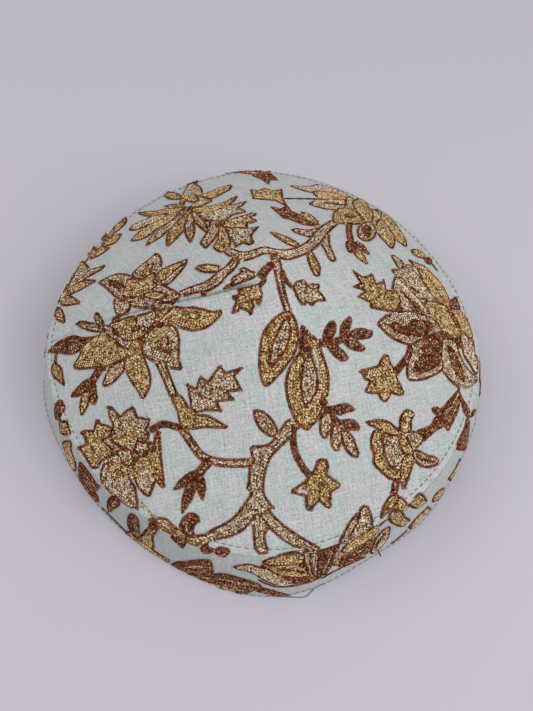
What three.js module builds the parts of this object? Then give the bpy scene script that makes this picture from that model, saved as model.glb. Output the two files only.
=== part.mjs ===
// Embroidered cap: a crown of one cloth circle drawn into a shallow cone by a dart, sewn to a side band.
// Millimetres, +Z up. The rim rests on z = 0, the middle is on the Z axis and the front faces -Y.
import * as THREE from 'three';

// Driving dimensions
const headGirth = 570;            // inside the rim, for an adult head
const clothWall = 1.6;            // embroidered cloth with its backing
const crownSeamRadius = 84.6;     // mean radius of the seam between crown and band
const crownRise = 44;             // from that seam to the tip
const bandHeight = 34;            // from the rim to that seam
const seamGap = 0.3;              // between the two sewn edges
const bandBelly = 0.8;            // how far the band bows outwards at half height

// Shape of the crown in section, as shares of its radius
const crownPower = 1.45;          // 1 is a straight cone, 2 is a parabola
const tipRounding = 0.1;

// The dart runs from the seam on the left up to the tip
const dartEdgeAngle = THREE.MathUtils.degToRad(188);
const dartCurl = THREE.MathUtils.degToRad(20);   // how far it swings round by the tip
const dartDepth = 0.9;
const dartHalfWidth = 3.2;
const dartTipShare = 0.16;        // it fades out inside this share of the radius
const dartEdgeShare = 0.08;       // and over this last share before the seam

// In plan the cap is a soft rounded square, more so at the rim than at the crown seam
const squareTurn = THREE.MathUtils.degToRad(8);
const rimPlan = { radius: headGirth / (2 * Math.PI) + clothWall, square: 3, corner: 0.6 };
const seamPlan = { radius: crownSeamRadius, square: 1, corner: 0.2 };

// Facets
const crownSegments = 84;
const crownRings = 14;
const bandSegments = 72;
const bandRows = 6;
const dartGather = 0.7;           // 0 spaces the crown's segments evenly, towards 1 they crowd at the dart

// How far the plan stands out from its mean radius at an angle
function planOffset(plan, angle) {
  const turned = angle - squareTurn;
  return plan.square * Math.cos(4 * turned) + plan.corner * Math.cos(8 * turned);
}

// Height of the crown above its seam, at a share of its radius
function crownLift(share) {
  const tip = tipRounding ** crownPower;
  const edge = Math.hypot(1, tipRounding) ** crownPower;
  const here = Math.hypot(share, tipRounding) ** crownPower;
  return crownRise * (edge - here) / (edge - tip);
}

function crownSlope(share) {
  const step = 0.001;
  return (crownLift(share - step) - crownLift(share + step)) / (2 * step * crownSeamRadius);
}

// How deep the dart draws the cloth in, at a share of the radius and an angle
function dartDrop(share, angle) {
  const away = angle - dartEdgeAngle - dartCurl * (1 - share) ** 3;
  if (Math.cos(away) < 0) return 0;
  const sideways = Math.abs(Math.sin(away)) * share * crownSeamRadius;
  const fold = Math.max(0, 1 - sideways / dartHalfWidth);
  const tipFade = Math.min(1, share / dartTipShare);
  const edgeFade = Math.min(1, (1 - share) / dartEdgeShare);
  return dartDepth * fold * tipFade * edgeFade;
}

// Turns a profile round the Z axis, then passes each point's radius, angle and height through a bend
function turnedShell(profile, segments, bend) {
  const shell = new THREE.LatheGeometry(profile, segments);
  shell.rotateX(Math.PI / 2);
  const points = shell.attributes.position;
  for (let i = 0; i < points.count; i++) {
    const x = points.getX(i);
    const y = points.getY(i);
    const bent = bend(Math.hypot(x, y), Math.atan2(y, x), points.getZ(i));
    points.setXYZ(i, bent.radius * Math.cos(bent.angle), bent.radius * Math.sin(bent.angle), bent.height);
  }
  shell.computeVertexNormals();
  return shell;
}

function makeCrown() {
  const seamHeight = bandHeight + seamGap / 2;
  const edgeTilt = Math.atan(crownSlope(1));
  const innerShare = 1 - clothWall / (Math.sin(edgeTilt) * crownSeamRadius);
  const inner = [];
  const outer = [];
  for (let ring = 0; ring <= crownRings; ring++) {
    const share = ring / crownRings;
    const inShare = share * innerShare;
    const inLift = crownLift(inShare) - clothWall * Math.hypot(1, crownSlope(inShare));
    const isEdge = ring === crownRings;
    inner.push(new THREE.Vector2(inShare * crownSeamRadius, seamHeight + (isEdge ? 0 : inLift)));
    outer.unshift(new THREE.Vector2(share * crownSeamRadius, seamHeight + (isEdge ? 0 : crownLift(share))));
  }
  return turnedShell([...inner, ...outer], crownSegments, (radius, evenAngle, height) => {
    const fromDart = evenAngle - dartEdgeAngle;
    const angle = dartEdgeAngle + fromDart - dartGather * Math.sin(fromDart);
    const share = radius / crownSeamRadius;
    return {
      radius: radius + share * planOffset(seamPlan, angle),
      angle,
      height: Math.max(seamHeight, height - dartDrop(share, angle)),
    };
  });
}

function makeSideBand() {
  const topHeight = bandHeight - seamGap / 2;
  const lean = Math.atan((rimPlan.radius - seamPlan.radius) / bandHeight);
  const wall = clothWall / Math.cos(lean);
  const inner = [];
  const outer = [];
  for (let row = 0; row <= bandRows; row++) {
    const rise = row / bandRows;
    const straight = THREE.MathUtils.lerp(rimPlan.radius, seamPlan.radius, rise);
    const radius = straight + bandBelly * Math.sin(Math.PI * rise);
    inner.unshift(new THREE.Vector2(radius - wall, rise * topHeight));
    outer.push(new THREE.Vector2(radius, rise * topHeight));
  }
  return turnedShell([...inner, ...outer, inner[0]], bandSegments, (radius, angle, height) => {
    const rise = height / topHeight;
    const offset = THREE.MathUtils.lerp(planOffset(rimPlan, angle), planOffset(seamPlan, angle), rise);
    return { radius: radius + offset, angle, height };
  });
}

// Undyed slub cotton, a little warmer where the band is in shade
const crownCloth = new THREE.MeshStandardMaterial({ color: '#b8bab5', roughness: 0.9, metalness: 0 });
const bandCloth = new THREE.MeshStandardMaterial({ color: '#b0b0a9', roughness: 0.9, metalness: 0 });

const cap = new THREE.Group();
const pieces = [
  { name: 'crown', geometry: makeCrown(), material: crownCloth },
  { name: 'side_band', geometry: makeSideBand(), material: bandCloth },
];
for (const { name, geometry, material } of pieces) {
  const piece = new THREE.Mesh(geometry, material);
  piece.name = name;
  cap.add(piece);
}

export default cap;
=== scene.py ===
import math
import bmesh
import bpy
import numpy as np
from mathutils import Matrix, Vector, kdtree
from mathutils.bvhtree import BVHTree


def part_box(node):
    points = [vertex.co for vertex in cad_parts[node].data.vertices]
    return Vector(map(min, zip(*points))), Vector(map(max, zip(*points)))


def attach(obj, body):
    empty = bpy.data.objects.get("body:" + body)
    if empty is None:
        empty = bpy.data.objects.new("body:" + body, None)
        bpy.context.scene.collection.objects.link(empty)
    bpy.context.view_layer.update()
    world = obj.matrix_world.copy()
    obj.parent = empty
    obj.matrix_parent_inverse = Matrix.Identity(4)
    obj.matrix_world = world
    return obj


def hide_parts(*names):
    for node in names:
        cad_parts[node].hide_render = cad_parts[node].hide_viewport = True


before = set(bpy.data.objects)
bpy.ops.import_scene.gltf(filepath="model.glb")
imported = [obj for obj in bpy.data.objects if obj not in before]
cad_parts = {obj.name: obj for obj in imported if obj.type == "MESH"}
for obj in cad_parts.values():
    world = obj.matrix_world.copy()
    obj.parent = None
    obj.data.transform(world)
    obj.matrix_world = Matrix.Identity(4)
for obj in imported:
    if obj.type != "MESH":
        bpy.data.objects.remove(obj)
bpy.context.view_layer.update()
print("frame loaded:", sorted(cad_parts))

mm = 0.001  # lengths below are in millimetres, meshes are in metres
fullTurn = 2 * math.pi

# The cap's form, as its solids have it, and the worn cloth that stands out at the front right
capForm = {
    "seamPlan": {"radius": 84.6, "square": 1.0, "corner": 0.2, "standOut": 1.4},
    "rimPlan": {"radius": 92.32, "square": 3.0, "corner": 0.6, "standOut": 3.6},
    "squareTurn": math.radians(8),
    "wornFront": (-1.13, -0.66),    # angles over which the worn cloth comes out
    "wornRight": (0.35, -0.2),      # and, from the other side, the same
    "crownPower": 1.45,
    "tipRounding": 0.1,
    "edgeSlope": math.radians(36),  # of the crown at its seam
    "dartAngle": math.radians(188),
    "dartCurl": math.radians(20),
    "bandBelly": 0.8,
    "clothWall": 1.6,
}
seamPlan, rimPlan = capForm["seamPlan"], capForm["rimPlan"]
# Heights come from the frame
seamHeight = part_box("crown")[0].z / mm
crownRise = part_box("crown")[1].z / mm - seamHeight
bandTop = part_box("side_band")[1].z / mm
slantLength = math.hypot(crownRise, seamPlan["radius"])


def crownLift(share):
    power, rounding = capForm["crownPower"], capForm["tipRounding"]
    tip = rounding ** power
    edge = np.hypot(1, rounding) ** power
    here = np.hypot(share, rounding) ** power
    return crownRise * (edge - here) / (edge - tip)


def dartAngleAt(share):
    return capForm["dartAngle"] + capForm["dartCurl"] * (1 - share) ** 3


def smooth(low, high, value):
    t = np.clip((value - low) / (high - low), 0, 1)
    return t * t * (3 - 2 * t)


def hump(away, width):
    return np.exp(-(away / width) ** 2)


def ripples(angle, *waves):
    # each wave: how many go round the cap, how high, and where they start
    return sum(height * np.sin(count * angle + start) for count, height, start in waves)


def wornShare(angle):
    around = (angle + math.pi) % fullTurn - math.pi
    return smooth(*capForm["wornFront"], around) * smooth(*capForm["wornRight"], around)


def planRadius(plan, angle):
    turned = angle - capForm["squareTurn"]
    rounded = plan["radius"] + plan["square"] * np.cos(4 * turned) + plan["corner"] * np.cos(8 * turned)
    return rounded + plan["standOut"] * wornShare(angle)


def ringAt(radius, angle, z):
    return np.stack([radius * np.cos(angle), radius * np.sin(angle), z + 0 * angle], -1)


# The photograph's camera, fitted to the crown's seam, the rim and the dart's end
photoCamera = {
    "width": 533,
    "height": 711,
    "focalPixels": 650.0,
    "place": Vector((1.13, -122.76, 265.97)),
    "elevation": math.radians(63.78),
    "yaw": math.radians(0.15),
    "roll": math.radians(5.45),
    "sensor": 36.0,
    "nearest": 0.01,    # clip distance in metres
}


def cameraAxes():
    e, yaw, roll = photoCamera["elevation"], photoCamera["yaw"], photoCamera["roll"]
    ahead = Vector((math.sin(yaw) * math.cos(e), math.cos(yaw) * math.cos(e), -math.sin(e)))
    level = ahead.cross(Vector((0, 0, 1))).normalized()
    above = level.cross(ahead)
    right = level * math.cos(roll) + above * math.sin(roll)
    up = above * math.cos(roll) - level * math.sin(roll)
    return right, up, ahead


cameraRight, cameraUp, cameraAhead = cameraAxes()


def makeCamera():
    data = bpy.data.cameras.new("photoCamera")
    data.sensor_width = photoCamera["sensor"]
    data.lens = photoCamera["focalPixels"] / photoCamera["height"] * photoCamera["sensor"]
    data.clip_start = photoCamera["nearest"]
    camera = bpy.data.objects.new("photoCamera", data)
    bpy.context.scene.collection.objects.link(camera)
    turn = Matrix((cameraRight, cameraUp, -cameraAhead)).transposed().to_4x4()
    camera.matrix_world = Matrix.Translation(photoCamera["place"] * mm) @ turn
    bpy.context.scene.camera = camera


def pixelRay(pixel):
    across = (pixel[0] - photoCamera["width"] / 2) / photoCamera["focalPixels"]
    down = (pixel[1] - photoCamera["height"] / 2) / photoCamera["focalPixels"]
    return (cameraAhead + cameraRight * across - cameraUp * down).normalized()


def pixelOf(points):
    away = np.asarray(points, float) - np.array(photoCamera["place"])
    depth = away @ np.array(cameraAhead)
    across = away @ np.array(cameraRight) / depth * photoCamera["focalPixels"]
    above = away @ np.array(cameraUp) / depth * photoCamera["focalPixels"]
    return np.stack([photoCamera["width"] / 2 + across, photoCamera["height"] / 2 - above], -1)


makeCamera()
print("camera placed")


# Mesh helpers
def gridFaces(rings, columns):
    i, j = np.meshgrid(np.arange(rings - 1), np.arange(columns), indexing="ij")
    k = (j + 1) % columns
    quads = np.stack([i * columns + j, (i + 1) * columns + j, (i + 1) * columns + k, i * columns + k], -1)
    return quads.reshape(-1, 4)


def plainMesh(name, points, faces):
    mesh = bpy.data.meshes.new(name)
    mesh.from_pydata((np.asarray(points) * mm).tolist(), [], [list(map(int, f)) for f in faces])
    mesh.polygons.foreach_set("use_smooth", [True] * len(mesh.polygons))
    mesh.update()
    return mesh


def addPiece(name, mesh, material):
    piece = bpy.data.objects.new(name, mesh)
    bpy.context.scene.collection.objects.link(piece)
    mesh.materials.clear()
    mesh.materials.append(material)
    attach(piece, "root")
    return piece


def readValues(items, name, size, kind=float):
    values = np.zeros(len(items) * size, kind)
    items.foreach_get(name, values)
    return values.reshape(-1, size) if size > 1 else values


def writeValues(mesh, name, values):
    mesh.attributes.new(name, "FLOAT", "POINT").data.foreach_set("value", values)


def cornerColumns(mesh, columns, gridPoints):
    # each face corner's point and column: faces that close the round end one past the last column
    pointOf = readValues(mesh.loops, "vertex_index", 1, int)
    corners = readValues(mesh.polygons, "loop_total", 1, int)
    column = np.where(pointOf < gridPoints, pointOf % columns, 0)
    faceOf = np.repeat(np.arange(len(corners)), corners)
    widest = np.zeros(len(corners), int)
    np.maximum.at(widest, faceOf, column)
    closes = (widest[faceOf] == columns - 1) & (column == 0)
    return pointOf, np.where(closes, columns, column)


def writeGrain(mesh, across, along):
    # the flat cloth's millimetres, as a UV map near 0 to 1
    uv = np.stack([across, along], -1) * 0.01
    mesh.uv_layers.new(name="clothGrain").data.foreach_set("uv", uv.ravel())


# Crown cloth: columns start at the dart, so that the sewn fold lies along one of them
crownCloth = {
    "columns": 480,
    "rings": 128,
    "ringCrowding": 0.94,       # below 1 the rings crowd towards the edge
    "innerRings": 8,
    "innerSpan": (2.9, 0.02),   # from this far inside the seam to this share of the radius
    "innerWall": 1.2,           # in cloth walls, measured upright
    "innerBulge": 0.5,
    "dartGather": 0.72,         # 0 spaces the columns evenly, towards 1 they crowd at the dart
    "dartDepth": 1.2,
    "dartFold": 0.6,            # half width of the fold
    "foldPower": 1.3,
    "dartTip": 0.14,            # shares of the radius over which the fold fades, at the tip
    "dartEnd": 0.035,           # and at the seam
    "dartEase": 0.45,           # the outer half is this much shallower
    "dartEaseSpan": (0.45, 0.75),
    "dartLip": 0.4,             # the cloth swells beside the fold
    "lipPlace": 2.4,
    "lipWidth": 1.5,
    "dartPucker": 0.2,
    "puckerTurn": 1.9,          # radians for each millimetre along the fold
    "puckerShift": 0.9,
    "puckerReach": 4.5,
    "creaseShadeWidth": 0.5,         # dark line of the sewn fold: its thread, and painted shade in the fold
    "creaseShadeTip": (0.02, 0.16),
    "creaseShadeEase": 0.6,
    "creaseShadeEaseSpan": (0.45, 0.7),
    "stripWidth": 2.3,          # folded edge between the topstitch and the seam
    "stripEdge": (0.35, -0.45),
    "stripRise": 0.42,
    "stitchDent": 0.22,
    "dentPlace": 0.25,
    "dentWidth": 0.45,
    "seamPucker": 0.1,
    "seamReach": 5.5,
    "softWave": 0.4,
    # the fold under the edge, as outward and upward steps from the seam
    "edgeFold": ((0.28, 0.12), (0.3, -0.1), (0.05, -0.2), (-1.2, -0.16), (-2.5, -0.1)),
}
farAway = 1e3   # stands for the side of the cap without the dart


def fromDart(turn, radius):
    # millimetres sideways from the dart's line
    return np.where(np.cos(turn) > 0, np.sin(turn) * radius, farAway)


def crownOuter(share, angle):
    cloth = crownCloth
    edge = planRadius(seamPlan, angle)
    radius = share * edge
    sideways = fromDart(angle - dartAngleAt(share), radius)
    fade = smooth(0, cloth["dartTip"], share) * smooth(0, cloth["dartEnd"], 1 - share)
    fade = fade * (1 - cloth["dartEase"] * smooth(*cloth["dartEaseSpan"], share))
    fold = cloth["dartDepth"] * np.exp(-np.abs(sideways / cloth["dartFold"]) ** cloth["foldPower"])
    lip = cloth["dartLip"] * hump(np.abs(sideways) - cloth["lipPlace"], cloth["lipWidth"])
    pucker = np.sin(radius * cloth["puckerTurn"] + np.sign(sideways) * cloth["puckerShift"])
    pucker = cloth["dartPucker"] * pucker * hump(sideways, cloth["puckerReach"])
    z = seamHeight + crownLift(share) + fade * (lip + pucker - fold)
    fromSeam = (1 - share) * edge / math.cos(capForm["edgeSlope"])
    low, high = (cloth["stripWidth"] + step for step in cloth["stripEdge"])
    dent = hump(fromSeam - cloth["stripWidth"] - cloth["dentPlace"], cloth["dentWidth"])
    z = z + cloth["stripRise"] * smooth(low, high, fromSeam) - cloth["stitchDent"] * dent
    ripple = ripples(angle, (71, 1.0, 1.4 * np.sin(5 * angle)), (43, 0.6, 2.0))
    z = z + cloth["seamPucker"] * ripple * hump(fromSeam, cloth["seamReach"])
    wave = ripples(angle, (3, 1.0, 0.8), (5, 0.7, -7 * share), (8, 0.5, 11 * share))
    z = z + cloth["softWave"] * wave * np.sin(math.pi * np.clip(share, 0, 1)) ** 2
    return ringAt(radius, angle, z)


def crownTurns(columns):
    t = fullTurn * np.arange(columns) / crownCloth["columns"]
    return t - crownCloth["dartGather"] * np.sin(t)


def crownRows():
    cloth = crownCloth
    turns = crownTurns(cloth["columns"])
    rows = []
    for share in np.linspace(0, 1, cloth["rings"] + 1)[1:] ** cloth["ringCrowding"]:
        rows.append((share, crownOuter(share, dartAngleAt(share) + turns)))
    angles = dartAngleAt(1.0) + turns
    edge = planRadius(seamPlan, angles)
    for out, lift in cloth["edgeFold"]:
        rows.append((1.0, ringAt(edge + out, angles, seamHeight + lift)))
    first, last = cloth["innerSpan"]
    for share in np.linspace(1 - first / seamPlan["radius"], last, cloth["innerRings"]):
        ring = crownOuter(share, dartAngleAt(share) + turns)
        highest = seamHeight + crownLift(share) + cloth["innerBulge"]
        ring[:, 2] = np.minimum(ring[:, 2], highest) - capForm["clothWall"] * cloth["innerWall"]
        rows.append((share, ring))
    return rows


def unrolled(share, turn):
    # place on the flat cloth before the dart was sewn
    flat = turn * seamPlan["radius"] / slantLength
    return share * slantLength * np.cos(flat), share * slantLength * np.sin(flat)


def makeCrownMesh():
    cloth, rows = crownCloth, crownRows()
    columns = cloth["columns"]
    tip = seamHeight + crownLift(0.0)
    poles = [[(0, 0, tip), (0, 0, tip - capForm["clothWall"])]]
    points = np.concatenate([ring for share, ring in rows] + poles)
    faces = gridFaces(len(rows), columns).tolist()
    topIndex, underIndex, last = len(points) - 2, len(points) - 1, (len(rows) - 1) * columns
    for j in range(columns):
        k = (j + 1) % columns
        faces.append([topIndex, j, k])
        faces.append([underIndex, last + k, last + j])
    mesh = plainMesh("crown_cloth", points, faces)
    shareOf = np.concatenate([np.full(columns, share) for share, ring in rows] + [[0.0, 0.0]])
    x, y = points[:, 0], points[:, 1]
    sideways = fromDart(np.arctan2(y, x) - dartAngleAt(shareOf), np.hypot(x, y))
    # painted shade along the dart's fold
    creaseShade = hump(sideways, cloth["creaseShadeWidth"]) * smooth(*cloth["creaseShadeTip"], shareOf)
    creaseShade = creaseShade * (1 - cloth["creaseShadeEase"] * smooth(*cloth["creaseShadeEaseSpan"], shareOf))
    writeValues(mesh, "creaseShade", creaseShade)
    pointOf, column = cornerColumns(mesh, columns, len(rows) * columns)
    writeGrain(mesh, *unrolled(shareOf[pointOf], crownTurns(columns + 1)[column]))
    return mesh, rows


# Side band: rolled at the rim, tucked under the crown's edge
bandCloth = {
    "columns": 560,
    "rows": 44,
    "innerRows": 6,
    "topGap": 0.1,
    "tuck": 0.5,
    "tuckSpan": (0.94, 1.0),    # shares of the height
    "hemRise": 0.022,           # the roll starts at this share
    "hemRound": 0.75,
    "hemTurns": (35, 70, 110, 145),
    "hemFlat": 0.98,
    "softWave": 0.3,
    "seamPucker": 0.12,
    "seamReach": 5.0,
    "seamShadeBelowTop": 1.6,            # a thin line of painted shade lies along the seam where the cap is worn
    "seamShadeWidth": 0.8,
    "seamLineShade": 0.8,
}


def bandOuter(rise, angle):
    cloth = bandCloth
    radius = planRadius(rimPlan, angle) * (1 - rise) + planRadius(seamPlan, angle) * rise
    radius = radius + capForm["bandBelly"] * np.sin(math.pi * rise)
    wave = ripples(angle, (5, 1.0, 1.1 + 2 * rise), (9, 0.6, -3 * rise), (16, 0.4, 0))
    radius = radius + cloth["softWave"] * wave * np.sin(math.pi * np.clip(rise, 0, 1))
    ripple = ripples(angle, (67, 1.0, 1.2 * np.sin(4 * angle)), (39, 0.5, 0))
    radius = radius + cloth["seamPucker"] * ripple * hump((1 - rise) * bandTop, cloth["seamReach"])
    radius = radius - cloth["tuck"] * smooth(*cloth["tuckSpan"], rise)
    return ringAt(radius, angle, rise * (bandTop - cloth["topGap"]))


def makeBandMesh():
    cloth, columns, hem = bandCloth, bandCloth["columns"], bandCloth["hemRound"]
    angles = fullTurn * np.arange(columns) / columns
    outward = ringAt(1, angles, 0)
    profile = [bandOuter(rise, angles) for rise in np.linspace(1, cloth["hemRise"], cloth["rows"])]
    low = profile[-1]
    for turn in np.radians(cloth["hemTurns"]):
        ring = low - outward * (hem * (1 - math.cos(turn)))
        ring[:, 2] = hem * (1 - math.sin(turn)) * cloth["hemFlat"]
        profile.append(ring)
    for rise in np.linspace(cloth["hemRise"], 1, cloth["innerRows"]):
        profile.append(bandOuter(rise, angles) - outward * capForm["clothWall"])
    points = np.concatenate(profile)
    faces = gridFaces(len(profile), columns).tolist()
    last = (len(profile) - 1) * columns
    for j in range(columns):
        k = (j + 1) % columns
        faces.append([last + j, j, k, last + k])
    mesh = plainMesh("band_cloth", points, faces)
    seamShadeLine = hump(points[:, 2] - bandTop + cloth["seamShadeBelowTop"], cloth["seamShadeWidth"])
    worn = wornShare(np.arctan2(points[:, 1], points[:, 0]))
    writeValues(mesh, "creaseShade", cloth["seamLineShade"] * seamShadeLine * worn)
    pointOf, column = cornerColumns(mesh, columns, len(points))
    writeGrain(mesh, column / columns * fullTurn * rimPlan["radius"], points[pointOf, 2])
    return mesh, profile


crownMesh, crownRings = makeCrownMesh()
bandMesh, bandProfile = makeBandMesh()
print("cloth meshes:", len(crownMesh.polygons), "and", len(bandMesh.polygons), "faces")


def outerSurface():
    # outer faces of both cloths, in millimetres, which carry every stitch
    rings = [ring for share, ring in crownRings[:crownCloth["rings"]]]
    rows = bandProfile[:bandCloth["rows"]]
    points = np.concatenate(rings + rows)
    crownFaces = gridFaces(len(rings), crownCloth["columns"])
    bandFaces = gridFaces(len(rows), bandCloth["columns"]) + len(rings) * crownCloth["columns"]
    return BVHTree.FromPolygons(points.tolist(), np.concatenate([crownFaces, bandFaces]).tolist())


surface = outerSurface()

# A charted pixel beside the cap is drawn in towards the cap's middle, in steps of pixels
drawIn = {"middle": Vector((266.0, 352.0)), "steps": 24, "step": 0.75, "reach": 300}


def onCap(pixel):
    origin, spot = photoCamera["place"], Vector(pixel)
    inward = (drawIn["middle"] - spot).normalized()
    for step in range(drawIn["steps"]):
        place, face = surface.ray_cast(origin, pixelRay(spot + inward * step * drawIn["step"]))[:2]
        if place:
            return place, face
    return surface.find_nearest(origin + pixelRay(spot) * drawIn["reach"])[:2]


def onBand(spot):
    # a spot on the flattened band: millimetres round the rim, and up from it
    angle = spot[0] / rimPlan["radius"]
    place = bandOuter(np.array([spot[1] / bandTop]), np.array([angle]))[0]
    return surface.find_nearest(Vector(place))[:2]


def bandSpotOf(points):
    points = np.asarray(points)
    angle = np.arctan2(points[:, 1], points[:, 0]) % fullTurn
    return np.stack([angle * rimPlan["radius"], points[:, 2]], -1)


# Shapes of the flowers, as closed rings on a chart
shapes = {"curveSteps": 4, "leafSteps": 9, "leafFullness": 0.8, "discSteps": 12, "lineWidth": 2.2}


def drawCurve(points, closed):
    points = [np.array(p, float) for p in points]
    count, steps = len(points), shapes["curveSteps"]
    drawn = []
    for i in range(count if closed else count - 1):
        around = [i + k if not closed else (i + k) % count for k in (-1, 0, 1, 2)]
        before, a, b, after = (points[min(max(k, 0), count - 1)] for k in around)
        for t in np.arange(steps) / steps:
            drawn.append(0.5 * (2 * a + (b - before) * t + (2 * before - 5 * a + 4 * b - after) * t * t
                                + (3 * a - before - 3 * b + after) * t ** 3))
    if not closed:
        drawn.append(points[-1])
    return np.array(drawn)


def leaf(thread, base, tip, width, bow=0.0, peak=0.42):
    # peak: where it is widest, as a share of its length
    base, tip = np.array(base, float), np.array(tip, float)
    along = tip - base
    across = np.array([-along[1], along[0]]) / np.hypot(*along)
    t = np.linspace(0, 1, shapes["leafSteps"])
    half = width / 2 * np.sin(math.pi * t ** (math.log(0.5) / math.log(peak))) ** shapes["leafFullness"]
    spine = base + along * t[:, None] + across * (bow * np.sin(math.pi * t))[:, None]
    ring = np.concatenate([spine + across * half[:, None], (spine - across * half[:, None])[-2:0:-1]])
    return {"thread": thread, "ring": ring}


def petal(thread, *points):
    return {"thread": thread, "ring": drawCurve(points, closed=True)}


def serrated(thread, *points):
    return {"thread": thread, "ring": np.array(points, float)}


def stem(thread, points, startWidth, endWidth):
    spine = drawCurve(points, closed=False)
    along = np.gradient(spine, axis=0)
    across = np.stack([-along[:, 1], along[:, 0]], -1) / np.hypot(along[:, 0], along[:, 1])[:, None]
    half = np.linspace(startWidth, endWidth, len(spine))[:, None] / 2
    ring = np.concatenate([spine + across * half, (spine - across * half)[::-1]])
    return {"thread": thread, "ring": ring, "spine": spine}


def disc(thread, middle, radius):
    turn = fullTurn * np.arange(shapes["discSteps"]) / shapes["discSteps"]
    ring = np.array(middle) + radius * np.stack([np.cos(turn), np.sin(turn)], -1)
    return {"thread": thread, "ring": ring}


def line(thread, *points):
    # a single row of stitches
    return {**stem(thread, points, shapes["lineWidth"], shapes["lineWidth"]), "single": True}


def glow(thread, *points):
    # a patch of another thread, without an outline
    return {**petal(thread, *points), "plain": True}


def bare(*points):
    # cloth left free inside a shape
    return {"thread": None, "ring": drawCurve(points, closed=True)}


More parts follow.
